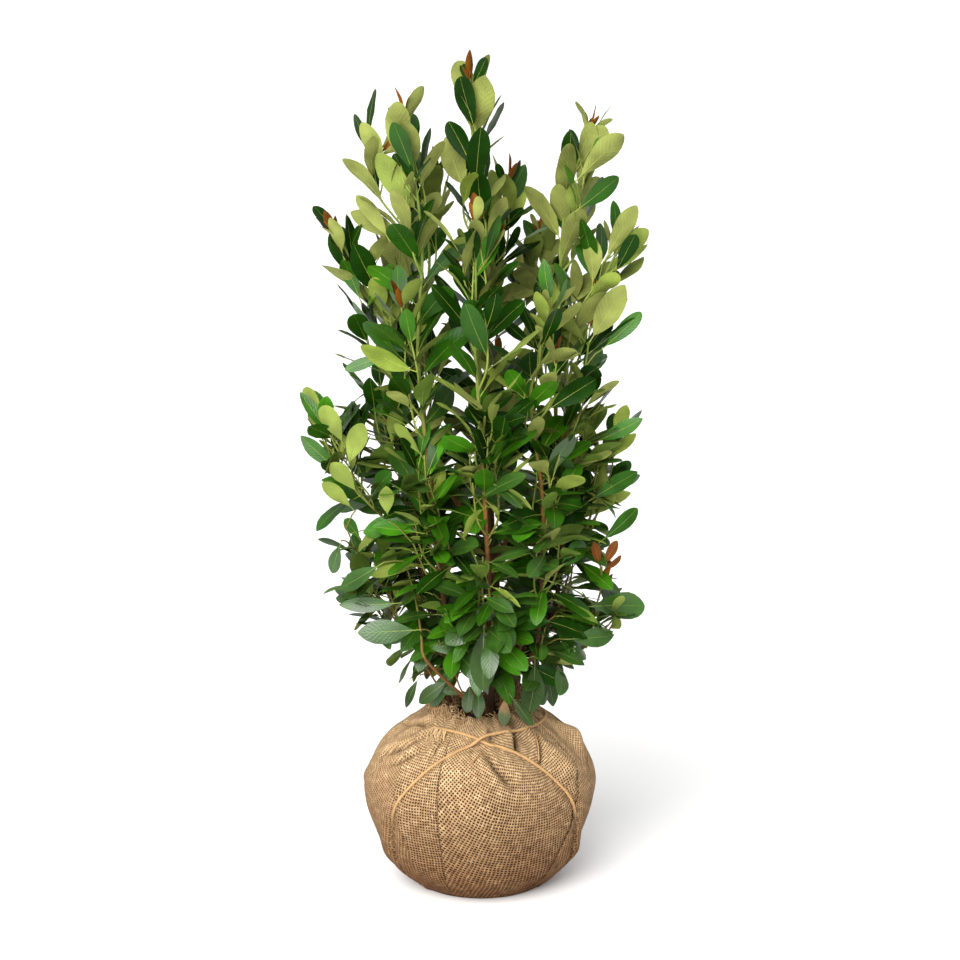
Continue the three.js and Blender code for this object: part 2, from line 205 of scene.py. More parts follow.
# Folds drawn in by the twine: each starts at the neck and dies out down the side. They are
# shallow at the front, and on the left of it, where the cloth is drawn smooth.
FOLDS = 22
fold_chance = np.random.default_rng(5)
folds = []
for k in range(FOLDS):
    where = 360 / FOLDS * k + fold_chance.uniform(-5, 5)
    from_front = (where + 270) % 360 - 180
    smoothed = 0.35 if abs(from_front) < 28 else 0.45 if -92 < from_front < 0 else 1.0
    folds.append(
        (
            math.radians(where),
            fold_chance.uniform(0.42, 0.78),  # how far down it reaches
            fold_chance.uniform(0.006, 0.012) * smoothed,  # how deep
            math.radians(fold_chance.uniform(2.6, 5.0)),  # how wide
            fold_chance.uniform(-0.35, 0.35),  # how much it leans
        )
    )
# Single creases and ridges, each from one place to another, as (degrees right of the front,
# height), and how deep and wide in metres. A ridge's depth is below nothing.
CREASES = [
    ((-44, 0.259), (-71, 0.213), 0.0090, 0.0032),
    ((-40, 0.240), (-60, 0.206), 0.0070, 0.0030),
    ((-48, 0.272), (-88, 0.252), 0.0075, 0.0034),
    ((-60, 0.262), (-78, 0.214), -0.0030, 0.0110),
    ((-30, 0.262), (-33, 0.226), 0.0050, 0.0036),
    ((0, 0.249), (19, 0.192), 0.0100, 0.0042),
    ((8, 0.270), (7, 0.252), 0.0080, 0.0036),
    ((34, 0.267), (24, 0.243), 0.0150, 0.0054),
    ((52, 0.264), (37, 0.222), 0.0100, 0.0044),
    ((48, 0.254), (59, 0.186), -0.0085, 0.0120),
    ((65, 0.240), (61, 0.190), 0.0070, 0.0040),
    ((98, 0.245), (76, 0.192), 0.0080, 0.0050),
    ((84, 0.262), (88, 0.222), -0.0060, 0.0120),
    ((120, 0.258), (106, 0.190), 0.0095, 0.0046),
    ((160, 0.250), (164, 0.100), 0.0050, 0.0036),
    ((182, 0.266), (172, 0.212), 0.0090, 0.0044),
    ((203, 0.262), (222, 0.200), 0.0100, 0.0046),
    ((215, 0.262), (236, 0.214), -0.0070, 0.0110),
    ((250, 0.256), (240, 0.120), 0.0065, 0.0040),
]
# Lumps of hard soil that push the cloth out, and hollows: where, and how far out and how
# wide in metres.
LUMPS = [
    (70, 0.062, 0.0065, 0.020),
    (84, 0.030, -0.0060, 0.022),
    (92, 0.172, 0.0040, 0.030),
    (86, 0.228, 0.0050, 0.020),
    (-92, 0.166, 0.0055, 0.016),
    (-88, 0.205, -0.0030, 0.018),
    (-86, 0.238, 0.0035, 0.020),
    (-76, 0.052, 0.0050, 0.020),
    (-98, 0.100, -0.0040, 0.026),
    (8, 0.150, 0.0040, 0.050),
    (150, 0.130, 0.0050, 0.035),
    (205, 0.170, 0.0050, 0.030),
    (178, 0.060, -0.0050, 0.030),
]

ACROSS = 0.15  # metres of cloth to a radian near the neck
ACROSS_WAIST = 0.17  # and at the waist


def pleats(turn, rise):
    """Folds that run down from the neck and die out towards the waist, in metres, and the painted
    shade in their valleys.
    """
    total = np.zeros(np.broadcast(turn, rise).shape)
    dark = total
    for where, reach, depth, width, lean in folds:
        beside = past(turn, where + lean * (1 - rise))
        fade = np.clip((rise - reach) / (1 - reach), 0, 1) ** 0.8
        spread = width * (0.6 + 1.1 * (1 - rise) / (1 - reach))
        valley = gauss(beside, spread)
        ridge = gauss(beside - 2.1 * spread, 1.3 * spread)
        total = total + fade * depth * (0.75 * ridge - valley)
        # Painted shade, darkest deep in the fold's valley.
        dark = np.maximum(dark, fade * depth / 0.012 * valley**3)
    return total, dark


def creased(turn, height):
    """The creases' depth, in metres, each with a low roll of cloth beside it, and the painted shade
    in the deeper creases.
    """
    total = np.zeros(np.shape(turn))
    dark = total
    for (turn_a, height_a), (turn_b, height_b), depth, width in CREASES:
        x, y = past(turn, front_turn(turn_a)) * ACROSS, height - height_a
        bx, by = math.radians(turn_b - turn_a) * ACROSS, height_b - height_a
        long = math.hypot(bx, by)
        along = (x * bx + y * by) / long
        beside = (x * by - y * bx) / long + 0.05 * along * (long - along) / long
        fade = np.clip(1.15 * np.sin(math.pi * np.clip(along / long, 0, 1)), 0, 1)
        valley = gauss(beside, width)
        total = total + depth * fade * (valley - 0.45 * gauss(beside - 2.6 * width, 1.6 * width))
        # Painted shade in the deeper creases.
        if depth > 0:
            dark = np.maximum(dark, fade * min(1.0, depth / 0.009) * valley**2)
    return total, dark


def settled(turn, rise, height):
    """The lumps of the packed soil under the cloth, and slack wrinkles low down."""
    x, y, z = np.cos(turn), np.sin(turn), rise * 2
    slow = 0.0026 * smooth_noise(11, x, y, z, waves=7, reach=2.6)
    wrinkles = 0.0013 * smooth_noise(12, x, y, z, waves=8, reach=8.5)
    total = (slow + wrinkles) * np.sin(math.pi * np.clip(rise, 0.03, 0.97)) ** 0.5
    for degrees, level, out, wide in LUMPS:
        beside = past(turn, front_turn(degrees)) * ACROSS_WAIST
        total = total + out * gauss(np.hypot(beside, height - level), wide)
    return total


# Four strands of twine run from the neck ring down the sides. Their ends are read off the
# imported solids, and between them each follows a quarter of an ellipse on the cloth.
STRANDS = ["front_left", "front_right", "back_left", "back_right"]
STRAND_STEPS = 90


def strand_line(name):
    """The angles and heights that a strand of twine follows."""
    points = points_of(f"twine_{name}")
    order = np.argsort(points[:, 2])
    top, foot = points[order[-5:]].mean(0), points[order[:5]].mean(0)
    turn = math.atan2(top[1], top[0])
    sweep = past(math.atan2(foot[1], foot[0]), turn)
    quarter = np.linspace(0, math.pi / 2, STRAND_STEPS)
    return turn + sweep * np.sin(quarter), foot[2] + (top[2] - foot[2]) * np.cos(quarter)


strand_lines = {name: strand_line(name) for name in STRANDS}


def pinch(turn, height):
    """How far the twine presses the cloth in, in metres: the cloth swells on both sides. Also the
    painted shade in its groove.
    """
    near = np.full(np.shape(turn), 1.0)
    for turns, heights in strand_lines.values():
        for t, h in zip(turns[::3], heights[::3]):
            near = np.minimum(near, np.hypot(past(turn, t) * ACROSS, height - h))
    # Low down the strand has sunk into a crease, and the cloth closes over it.
    low = np.clip((0.150 - height) / 0.06, 0, 1)
    groove = gauss(near, 0.0070 - 0.0018 * low)
    swell = gauss(near - 0.015, 0.010)
    # Painted shade in the twine's groove, darker low down.
    dark = (0.25 + 0.75 * low) * groove**2
    return (0.0030 + 0.0065 * low) * groove - (0.0014 + 0.0022 * low) * swell, dark


cloth_points, cloth_uv, cloth_faces, cloth_painted_shade, cloth_patches = [], [], [], [], []


def add_cloth(points, uv, painted_crease_shade, rows, columns, closed_up, **ends):
    """Add a sheet of points to the cloth, with the painted shade at each point. Its threads may
    have closed up.
    """
    start = sum(len(p) for p in cloth_points)
    faces = grid_faces(rows, columns, start, **ends)
    cloth_points.append(points.reshape(-1, 3))
    cloth_uv.append(uv.reshape(-1, 2))
    cloth_painted_shade.append(painted_crease_shade.ravel())
    cloth_faces.append(faces[:, ::-1] if ends else faces)
    cloth_patches.append(np.full(len(faces), closed_up))


rise = np.linspace(0, 1, CLOTH_ROWS)[:, None]
midway = np.sin(math.pi * np.clip(rise, 0, 1)) ** 0.6  # 1 at half height, 0 at the ends
for index, (edge, swing, pull_side, pull_up, stand, closed_up) in enumerate(PANELS):
    next_edge, next_swing, _, _, next_stand, _ = PANELS[(index + 1) % len(PANELS)]
    if next_edge < edge:
        next_edge += 360
    bow = np.sin(math.pi * rise) * 3  # edges bow out a little at the waist
    left = edge - swing * (rise - 0.5) * 1.1 + bow
    right = next_edge - next_swing * (rise - 0.5) * 1.1 + bow + LAP
    # The first columns roll the edge under, so that it reads as a fold.
    across = np.concatenate([[0.035, 0.012, 0.0], np.linspace(0.004, 1, PANEL_COLUMNS - 3)])
    tuck = np.concatenate([[-0.0022, -0.0012, -0.0003], np.zeros(PANEL_COLUMNS - 3)])
    degrees = left + (right - left) * across
    turn = FRONT + np.radians(degrees)
    height = np.broadcast_to(side_heights[:, None], turn.shape)
    lift = stand * (1 - across) ** 1.5 * midway
    # The cloth underneath is drawn in along the next panel's edge.
    before_edge = right - LAP - degrees
    drawn_in = gauss(before_edge, 1.5) * midway
    folded, fold_shade = pleats(turn, rise)
    pinched, twine_groove_shade = pinch(turn, height)
    creases, crease_line_shade = creased(turn, height)
    relief = lift + tuck + folded + settled(turn, rise, height)
    relief = relief - 0.0020 * drawn_in - pinched - creases
    # Painted shade on the cloth just under the next panel's edge.
    panel_edge_shade = drawn_in * next_stand / 0.0046 * (np.abs(before_edge) < 1.5)
    # The darkest painted shade at each point goes into the cloth's colour.
    dark = np.clip(np.max([fold_shade, twine_groove_shade, crease_line_shade, panel_edge_shade], 0), 0, 1)
    radius, out_share, up_share = outline_normal(turn, height)
    radius = radius + relief * out_share
    sheet = round_axis(radius, turn, height + relief * up_share)
    # The threads are drawn towards one place, so that they fan a little.
    middle = front_turn((edge + next_edge) / 2)
    local = (0.45 * ball_width + 0.55 * ball_radius(turn, height)) * (turn - middle)
    aside, above = local - pull_side, waist_length + pull_up - side_lengths[:, None]
    threads = [pull_up * np.arctan2(aside, above) + index, np.hypot(aside, above)]
    add_cloth(sheet, np.stack(threads, -1), dark, CLOTH_ROWS, PANEL_COLUMNS, closed_up)

# The flat underside, drawn tight under the weight of the soil.
FOOT_SIDES, FOOT_RINGS = 120, 14
foot_turn = all_round(FOOT_SIDES)
foot_reach = np.linspace(1.0, 0.02, FOOT_RINGS)[:, None]
foot_r = ball_radius(foot_turn, np.full(FOOT_SIDES, side_heights[0])) * foot_reach
foot_z = side_heights[0] * np.clip((foot_reach - 0.9) / 0.1, 0, 1) * np.ones(FOOT_SIDES)
foot = round_axis(foot_r, foot_turn, foot_z)
add_cloth(foot, foot[..., :2] + 20, 0 * foot_z, FOOT_RINGS, FOOT_SIDES, 0, closed=True)
cloth_points, cloth_faces = np.concatenate(cloth_points), np.concatenate(cloth_faces)


def node_material(name, roughness):
    """A new material, with its node tree and shader."""
    material = bpy.data.materials.new(name)
    material.use_nodes = True
    tree = material.node_tree
    shader = tree.nodes["Principled BSDF"]
    shader.inputs["Roughness"].default_value = roughness
    return material, tree, shader


def add_node(tree, kind, inputs=(), **settings):
    """A node with its settings, and its inputs linked from sockets or set to values."""
    node = tree.nodes.new(kind)
    for key, value in settings.items():
        setattr(node, key, value)
    for key, value in dict(inputs).items():
        if isinstance(value, bpy.types.NodeSocket):
            tree.links.new(value, node.inputs[key])
        else:
            node.inputs[key].default_value = value
    return node


def maths(tree, operation, *values):
    """One sum on values or sockets."""
    return add_node(tree, "ShaderNodeMath", enumerate(values), operation=operation).outputs[0]


def ramp(tree, factor, stops):
    """A colour ramp with the given (place, colour) stops."""
    node = add_node(tree, "ShaderNodeValToRGB", {"Fac": factor})
    elements = node.color_ramp.elements
    while len(elements) < len(stops):
        elements.new(0.5)
    for element, (place, colour) in zip(elements, stops):
        element.position = place
        element.color = (*colour, 1)
    return node.outputs["Color"]


def mix(tree, kind, factor, one, other):
    """Two colours blended."""
    if not isinstance(other, bpy.types.NodeSocket):
        other = (*other, 1)
    inputs = {0: factor, 6: one, 7: other}
    return add_node(tree, "ShaderNodeMix", inputs, data_type="RGBA", blend_type=kind).outputs[2]


def scaled(tree, colour, amount):
    """A colour made lighter or darker."""
    inputs = {0: colour, "Scale": amount}
    return add_node(tree, "ShaderNodeVectorMath", inputs, operation="SCALE").outputs[0]


def noise(tree, place, scale, detail):
    """Soft noise over a place."""
    inputs = {"Vector": place, "Scale": scale, "Detail": detail}
    return add_node(tree, "ShaderNodeTexNoise", inputs).outputs[0]


def ranged(tree, value, low, high, to_low=0.0, to_high=1.0):
    """A value carried from one range to another, and held at its ends."""
    inputs = {0: value, 1: low, 2: high, 3: to_low, 4: to_high}
    return add_node(tree, "ShaderNodeMapRange", inputs).outputs[0]


def height_of(tree, place):
    """The height of a place."""
    return add_node(tree, "ShaderNodeSeparateXYZ", {0: place}).outputs[2]


def bump(tree, height, distance, strength=1.0, under=None):
    """A bump of so many metres, laid over another one."""
    inputs = {"Height": height, "Distance": distance, "Strength": strength}
    if under is not None:
        inputs["Normal"] = under
    return add_node(tree, "ShaderNodeBump", inputs).outputs["Normal"]


def surface(tree, shader, colour, normal, grain=None, rough=None, gloss=None):
    """Link a shader's colour and bumps, and let its roughness follow a grain."""
    tree.links.new(colour, shader.inputs["Base Color"])
    tree.links.new(normal, shader.inputs["Normal"])
    if grain is not None:
        tree.links.new(ranged(tree, grain, 0.0, 1.0, *rough), shader.inputs["Roughness"])
    if gloss is not None:
        shader.inputs["Specular IOR Level"].default_value = gloss


def shader_group(name, inputs, outputs):
    """An empty node group with its sockets, given by name and kind, and its two ends."""
    group = bpy.data.node_groups.new(name, "ShaderNodeTree")
    for way, sockets in (("INPUT", inputs), ("OUTPUT", outputs)):
        for socket, kind in sockets.items():
            group.interface.new_socket(socket, in_out=way, socket_type="NodeSocket" + kind)
    ends = group.nodes.new("NodeGroupInput").outputs, group.nodes.new("NodeGroupOutput").inputs
    return group, *ends


def weave_group():
    """The cloth's threads as a node group: over and under, with holes between them."""
    group, enter, leave = shader_group(
        "open_weave",
        {"Vector": "Vector", "Pitch": "Float", "Openness": "Float"},
        {"Height": "Float", "Hole": "Float", "Slub": "Float"},
    )
    vector = enter["Vector"]
    drift = add_node(group, "ShaderNodeTexNoise", {"Vector": vector, "Scale": 38.0, "Detail": 2.0})
    push = {0: drift.outputs["Color"], 1: (0.5, 0.5, 0.5)}
    push = add_node(group, "ShaderNodeVectorMath", push, operation="SUBTRACT").outputs[0]
    moved = {0: push, 1: (0.0042, 0.0042, 0.0), 2: vector}
    moved = add_node(group, "ShaderNodeVectorMath", moved, operation="MULTIPLY_ADD").outputs[0]
    split = add_node(group, "ShaderNodeSeparateXYZ", {0: moved}).outputs
    threads, turns, slubs = [], [], []
    for axis in (0, 1):
        count = maths(group, "DIVIDE", split[axis], enter["Pitch"])
        along = maths(group, "MULTIPLY", split[1 - axis], 60.0)
        place = {0: maths(group, "ROUND", count), 1: along, 2: float(7 * axis)}
        place = add_node(group, "ShaderNodeCombineXYZ", place).outputs[0]
        slub = noise(group, place, 1.0, 1.0)
        ridge = maths(group, "COSINE", maths(group, "MULTIPLY", count, 2 * math.pi))
        width = maths(group, "MULTIPLY", maths(group, "SUBTRACT", slub, 0.5), 1.5)
        threads.append(maths(group, "ADD", ridge, width))
        turns.append(maths(group, "COSINE", maths(group, "MULTIPLY", count, math.pi)))
        slubs.append(slub)
    over = maths(group, "MULTIPLY", maths(group, "MULTIPLY", *turns), 0.34)
    warp = maths(group, "ADD", threads[0], over)
    weft = maths(group, "SUBTRACT", threads[1], over)
    top = maths(group, "MAXIMUM", warp, weft)
    cut = maths(group, "SUBTRACT", enter["Openness"], top)
    group.links.new(top, leave["Height"])
    group.links.new(ranged(group, cut, -0.15, 0.36), leave["Hole"])
    group.links.new(maths(group, "MULTIPLY", maths(group, "ADD", *slubs), 0.5), leave["Slub"])
    return group


open_weave = weave_group()


def hessian_material(name, openness, dark_below, pitch, felted):
    """Tan jute cloth, darker low down with dirt and painted shade, and with painted shade in its
    creases. The more felted, the less its threads show.
    """
    material, tree, shader = node_material(name, 0.9)
    coordinates = add_node(tree, "ShaderNodeTexCoord").outputs
    place = coordinates["Object"]
    height = height_of(tree, place)
    gathered = ranged(tree, height, 0.20, 0.27, 0.0, 0.32)
    patchy = maths(tree, "MULTIPLY", noise(tree, place, 9.0, 3.0), 1.1)
    opening = maths(tree, "SUBTRACT", maths(tree, "ADD", patchy, openness - 0.55), gathered)
    fuzz = maths(tree, "ADD", maths(tree, "MULTIPLY", gathered, 0.8), felted)
    inputs = {"Vector": coordinates["UV"], "Pitch": pitch, "Openness": opening}
    weave = add_node(tree, "ShaderNodeGroup", inputs, node_tree=open_weave).outputs
    tan = [(0.25, (0.32, 0.192, 0.092)), (0.5, (0.57, 0.372, 0.195)), (0.75, (0.84, 0.62, 0.36))]
    tone = ramp(tree, weave["Slub"], tan)
    # Painted shading on the threads: their tops lighter, the dips between them darker.
    lit = scaled(tree, tone, ranged(tree, weave["Height"], -0.4, 1.5, 0.50, 1.20))
    holed = mix(tree, "MIX", weave["Hole"], lit, (0.050, 0.028, 0.013))
    holed = mix(tree, "MIX", fuzz, holed, (0.37, 0.240, 0.125))
    # Low down the cloth darkens: part damp and dirt, part painted shade.
    stain = maths(tree, "MULTIPLY", noise(tree, place, 22.0, 4.0), 0.06)
    level = maths(tree, "ADD", height, stain)
    damp_and_shade = ranged(tree, level, dark_below, dark_below - 0.065, 0.0, 0.42)
    dirt_and_shade = ranged(tree, level, dark_below - 0.065, 0.05, 0.0, 0.48)
    darkened_low = mix(tree, "MULTIPLY", maths(tree, "ADD", damp_and_shade, dirt_and_shade), holed, (0.25, 0.150, 0.092))
    # Painted shade darkens the cloth in its folds and creases, in the twine's grooves and under the
    # panels' edges.
    painted_crease_shade = add_node(tree, "ShaderNodeAttribute", attribute_name="painted_crease_shade").outputs["Fac"]
    painted_crease_shade = maths(tree, "MULTIPLY", painted_crease_shade, 0.85)
    shaded = mix(tree, "MIX", painted_crease_shade, darkened_low, (0.055, 0.026, 0.011))
    fibres = noise(tree, place, 900.0, 2.0)
    relief = maths(tree, "MULTIPLY", weave["Height"], maths(tree, "SUBTRACT", 1.0, fuzz))
    normal = bump(tree, relief, 0.0010, 1.0, bump(tree, fibres, 0.0004))
    surface(tree, shader, shaded, normal, fibres, (0.82, 0.98), 0.1)
    return material


def new_object(name, data):
    """An object in the scene, from a mesh, a lamp or a camera."""
    thing = bpy.data.objects.new(name, data)
    bpy.context.scene.collection.objects.link(thing)
    return thing


def piece(name, points, faces, materials, slot, nodes=(), uv=None, patches=None, painted_crease_shade=None):
    """A mesh as a smooth piece of the plant.

    patches gives each face's material, and painted_crease_shade gives each point's painted shade in
    the cloth's creases.
    """
    mesh = bpy.data.meshes.new(name)
    points = np.asarray(points, float).reshape(-1, 3)
    mesh.from_pydata([tuple(p) for p in points], [], [tuple(int(i) for i in f) for f in faces])
    mesh.polygons.foreach_set("use_smooth", np.ones(len(faces), bool))
    for material in materials:
        mesh.materials.append(material)
    if patches is not None:
        mesh.polygons.foreach_set("material_index", np.asarray(patches, np.int32))
    if uv is not None:
        corners = np.zeros(len(mesh.loops), np.int32)
        mesh.loops.foreach_get("vertex_index", corners)
        layer = mesh.uv_layers.new(name="UVMap")
        layer.data.foreach_set("uv", np.asarray(uv, float)[corners].ravel())
    if painted_crease_shade is not None:
        mesh.attributes.new("painted_crease_shade", "FLOAT", "POINT").data.foreach_set("value", painted_crease_shade)
    mesh.update()
    thing = new_object(name, mesh)
    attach(thing, "root")
    if nodes:
        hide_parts(*nodes)


hessian_cloths = [
    hessian_material("hessian", 0.06, 0.26, 0.0046, 0.0),
    hessian_material("hessian_closed_up", -0.04, 0.26, 0.0040, 0.22),
]
piece(
    "hessian_cloth",
    cloth_points,
    cloth_faces,
    hessian_cloths,
    "hessian",
    ["hessian_wrap"],
    uv=np.concatenate(cloth_uv),
    patches=np.concatenate(cloth_patches),
    painted_crease_shade=np.concatenate(cloth_painted_shade),
)

# ---- The gathered neck ----
# The corners of the cloth, bunched up round the stems above the twine. It's the same jute,
# ruffled, with a raw edge that turns in over the soil.

collar_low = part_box("gathered_collar")[0]
NECK_SIDES, NECK_ROWS = 420, 30
neck_turn = all_round(NECK_SIDES)[None, :]
neck_along = np.linspace(0, 1, NECK_ROWS)[:, None]
outer_radius = ball_radius(neck_turn, np.full((1, NECK_SIDES), collar_low.z + 0.004))
drift = 0.9 * np.sin(2 * neck_turn + 0.4) + 0.5 * neck_along
ruffle = np.sin(19 * neck_turn + 2 * drift) + 0.7 * np.sin(43 * neck_turn + 3 * drift)
round_neck = 4 * np.cos(neck_turn), 4 * np.sin(neck_turn), 3 * neck_along
crumple = smooth_noise(8, *round_neck, waves=9, reach=1.6)


def hump(degrees, width):
    """1 round an angle right of the front, falling to 0 beside it."""
    return gauss(past(neck_turn, front_turn(degrees)), math.radians(width))


# The cloth is drawn up highest behind the stems and on the left, and lies low in front.
tall = 0.0050 + 0.026 * hump(126, 18) + 0.018 * hump(-60, 20) + 0.010 * hump(-110, 24)
tall = tall + 0.007 * hump(185, 40) + 0.013 * hump(70, 15)
inner_radius = 0.052 + 0.006 * np.sin(3 * neck_turn + 1) + 0.010 * hump(0, 50)
reach = 1 - neck_along**1.1
neck_r = inner_radius + (outer_radius - inner_radius) * reach
neck_r = neck_r + (0.0052 * ruffle + 0.004 * crumple) * neck_along**0.6 * reach**0.3
crest = np.sin(math.pi * neck_along**0.75) ** 0.9
slope = collar_low.z - 0.003 + (rim_height - collar_low.z + 0.001) * neck_along**0.9
neck_z = slope + (tall * (1 + 0.25 * crumple)) * crest
neck_z = neck_z + 0.0046 * ruffle * crest**0.5 * (0.3 + 0.7 * neck_along)
neck_z = neck_z - 0.016 * np.clip((neck_along - 0.82) / 0.18, 0, 1)
neck_z = neck_z - 0.010 * hump(-6, 30) * neck_along**1.5
neck = round_axis(neck_r, neck_turn, neck_z)
neck_faces = grid_faces(NECK_ROWS, NECK_SIDES, closed=True)
neck_uv = [0.085 * neck_turn + 0.02 * neck_along, 0.075 * neck_along + 0.03 * neck_turn + 40]
piece(
    "hessian_collar",
    neck,
    neck_faces,
    [hessian_material("hessian_neck", 0.10, 0.10, 0.0042, 0.04)],
    "hessian",
    ["gathered_collar"],
    uv=np.stack(neck_uv, -1).reshape(-1, 2),
)

# ---- The twine ----
# Two-ply jute twine: a ring round the neck holds the cloth shut, and four strands run from
# it down the ball. It is hairy, pale tan, drawn tight into the cloth, and tucked under the
# cloth's folds on the left of the neck.

UP = np.array([0, 0, 1.0])
TWINE_SIDES = 12
twine_radius = 0.0024


def run_along(path):
    """How far along a path each of its points lies."""
    return np.concatenate([[0], np.cumsum(np.linalg.norm(np.diff(path, axis=0), axis=1))])


def tube(path, radius, sides=8, plies=0, lay=0.02):
    """Points and faces of a round strand along a path, twisted from plies if asked."""
    path = np.asarray(path, float)
    along = np.gradient(path, axis=0)
    along /= np.linalg.norm(along, axis=1)[:, None] + 1e-12
    side = np.zeros_like(path)
    side[0] = np.cross(along[0], [0.31, 0.17, 0.94] if abs(along[0][2]) < 0.9 else [1, 0.1, 0])
    for i in range(1, len(path)):
        side[i] = side[i - 1] - along[i] * np.dot(side[i - 1], along[i])
        side[i] /= np.linalg.norm(side[i]) + 1e-12
    side[0] /= np.linalg.norm(side[0])
    turn = all_round(sides)
    ring = np.broadcast_to(radius, len(path))[:, None] * np.ones(sides)
    if plies:
        twist = turn - run_along(path)[:, None] * 2 * math.pi / lay
        ring = ring * (0.8 + 0.26 * np.abs(np.cos(plies / 2 * twist)))
    points = path[:, None] + (ring * np.cos(turn))[..., None] * side[:, None]
    points = points + (ring * np.sin(turn))[..., None] * np.cross(along, side)[:, None]
    return points.reshape(-1, 3), grid_faces(len(path), sides, closed=True)


def joined(parts):
    """Several (points, faces) as one."""
    points, faces, start = [], [], 0
    for p, f in parts:
        points.append(p)
        faces += [tuple(int(i) + start for i in face) for face in f]
        start += len(p)
    return np.concatenate(points), faces


cloth_tree = tree_of(cloth_points, cloth_faces)
neck_tree = tree_of(neck.reshape(-1, 3), neck_faces)


def on_cloth(turn, height, lift):
    """A point on the dressed cloth, lifted off it."""
    outward = Vector(outward_at(turn))
    hit = cloth_tree.ray_cast(outward + Vector((0, 0, height)), -outward)[0]
    if hit is None:
        return outward_at(turn) * ball_radius(turn, np.array(height)) + UP * height
    return np.array(hit + Vector(outward_at(turn, 0.35 * (height > 0.2))).normalized() * lift)


def on_top(point, lift):
    """A point moved out to lie on the cloth or the gathered neck, lifted off it."""
    outward = Vector(outward_at(math.atan2(point[1], point[0]), 0.9)).normalized()
    start = Vector(point) + outward * 0.2
    hits = [tree.ray_cast(start, -outward, 0.3) for tree in (cloth_tree, neck_tree)]
    hits = [h for h in hits if h[0] is not None]
    if not hits:
        return np.array(point)
    return np.array(min(hits, key=lambda h: h[3])[0] + outward * lift)


def on_side(turn, height):
    """A point on the strands down the ball's side, which sink into the cloth low down."""
    low = min(max((0.140 - height) / 0.05, 0), 1)
    return on_cloth(turn, height, twine_radius * (0.7 - 1.0 * low))


def eased(path, passes=4):
    """A path with its jogs smoothed out, its ends kept."""
    path = np.array(path)
    for _ in range(passes):
        path[1:-1] = (path[:-2] + path[1:-1] + path[2:]) / 3
    return path


def evenly(path, step, *others):
    """A path resampled at even steps, and values along it likewise."""
    path = np.asarray(path, float)
    run = run_along(path)
    marks = np.linspace(0, run[-1], max(3, int(run[-1] / step) + 1))
    even = np.stack([np.interp(marks, run, path[:, k]) for k in range(3)], 1)
    return (even, *[np.interp(marks, run, o) for o in others]) if others else even


RING_STEPS = 70
ring_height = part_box("twine_neck")[1].z - twine_radius
cross_height = strand_lines["front_left"][1][0] + 0.004
# Where the ring goes under the cloth's folds, and how far to each side, in degrees round
# from the front.
TUCKED_AT, TUCKED_FOR = 283, 31


def lashing(first, second, side):
    """One length of twine: up a front strand, round a side of the neck, down a back one."""
    up_turns, up_heights = strand_lines[first]
    down_turns, down_heights = strand_lines[second]
    start, end = up_turns[0], down_turns[0]
    sweep = (end - start) % (2 * math.pi) if side > 0 else -((start - end) % (2 * math.pi))
    path = [on_side(t, h) for t, h in zip(up_turns[::-1], up_heights[::-1])]
    for i in range(1, RING_STEPS):
        share = i / RING_STEPS
        turn = start + sweep * share
        near_end = gauss(min(share, 1 - share), 0.09)
        height = ring_height + (cross_height - ring_height) * near_end
        over = outward_at(turn) * ball_radius(turn, np.array(height)) + UP * height
        round_from_front = math.degrees((turn - FRONT) % (2 * math.pi))
        tucked = math.exp(-(((round_from_front - TUCKED_AT) / TUCKED_FOR) ** 6))
        path.append(on_top(over, twine_radius * (0.8 - 2.8 * tucked)))
    path += [on_side(t, h) for t, h in zip(down_turns, down_heights)]
    return eased(path, 6)


def lifted(path, number, amount):
    """A path raised a little round one of its points, to pass over another strand."""
    out = path / np.linalg.norm(path[:, :2], axis=1)[:, None]
    return path + out * (amount * gauss(np.arange(len(path)) - number, 5.0))[:, None]


OVER = 0.0036  # how far one strand rises to pass over the other
right_twine = lifted(lashing("front_left", "back_left", 1), STRAND_STEPS, OVER)
left_twine = lashing("front_right", "back_right", -1)
left_twine = lifted(left_twine, STRAND_STEPS + RING_STEPS, OVER)
twine_parts = [
    tube(evenly(line, 0.0025), twine_radius, TWINE_SIDES, plies=2, lay=0.016)
    for line in (right_twine, left_twine)
]
# A loose end hangs down the front from the ring.
loose = [on_cloth(front_turn(49 - 11 * t), 0.262 - 0.036 * t, 0.002) for t in np.linspace(0, 1, 16)]
twine_parts.append(tube(eased(loose), 0.0016, 8, plies=2, lay=0.012))


def object_place(tree):
    """The place on the piece, in metres."""
    return add_node(tree, "ShaderNodeTexCoord").outputs["Object"]


def jute_material(name, colour, dark, darkened_low=0.0):
    """Loose jute fibre, streaked along its length, and darkened low down if asked: painted shade
    where a strand sinks into the cloth.
    """
    material, tree, shader = node_material(name, 0.85)
    place = object_place(tree)
    streak = noise(tree, place, 700.0, 3.0)
    clean = ramp(tree, streak, [(0.3, dark), (0.65, colour)])
    # Painted shade low down, where the twine sinks into the cloth's creases.
    soil = ranged(tree, height_of(tree, place), 0.155, 0.115, 0.0, darkened_low)
    jute = mix(tree, "MIX", soil, clean, (0.085, 0.042, 0.018))
    surface(tree, shader, jute, bump(tree, streak, 0.0006), streak, (0.75, 0.95), 0.25)
    return material


piece(
    "twine_lashing",
    *joined(twine_parts),
    [jute_material("twine_jute", (0.56, 0.345, 0.155), (0.30, 0.165, 0.068), 0.85)],
    "twine",
    ["twine_neck", *[f"twine_{name}" for name in STRANDS]],
)

# ---- The soil ----
# Dark moist loam between the stems, crumbly, with a few curls of wood fibre on it.

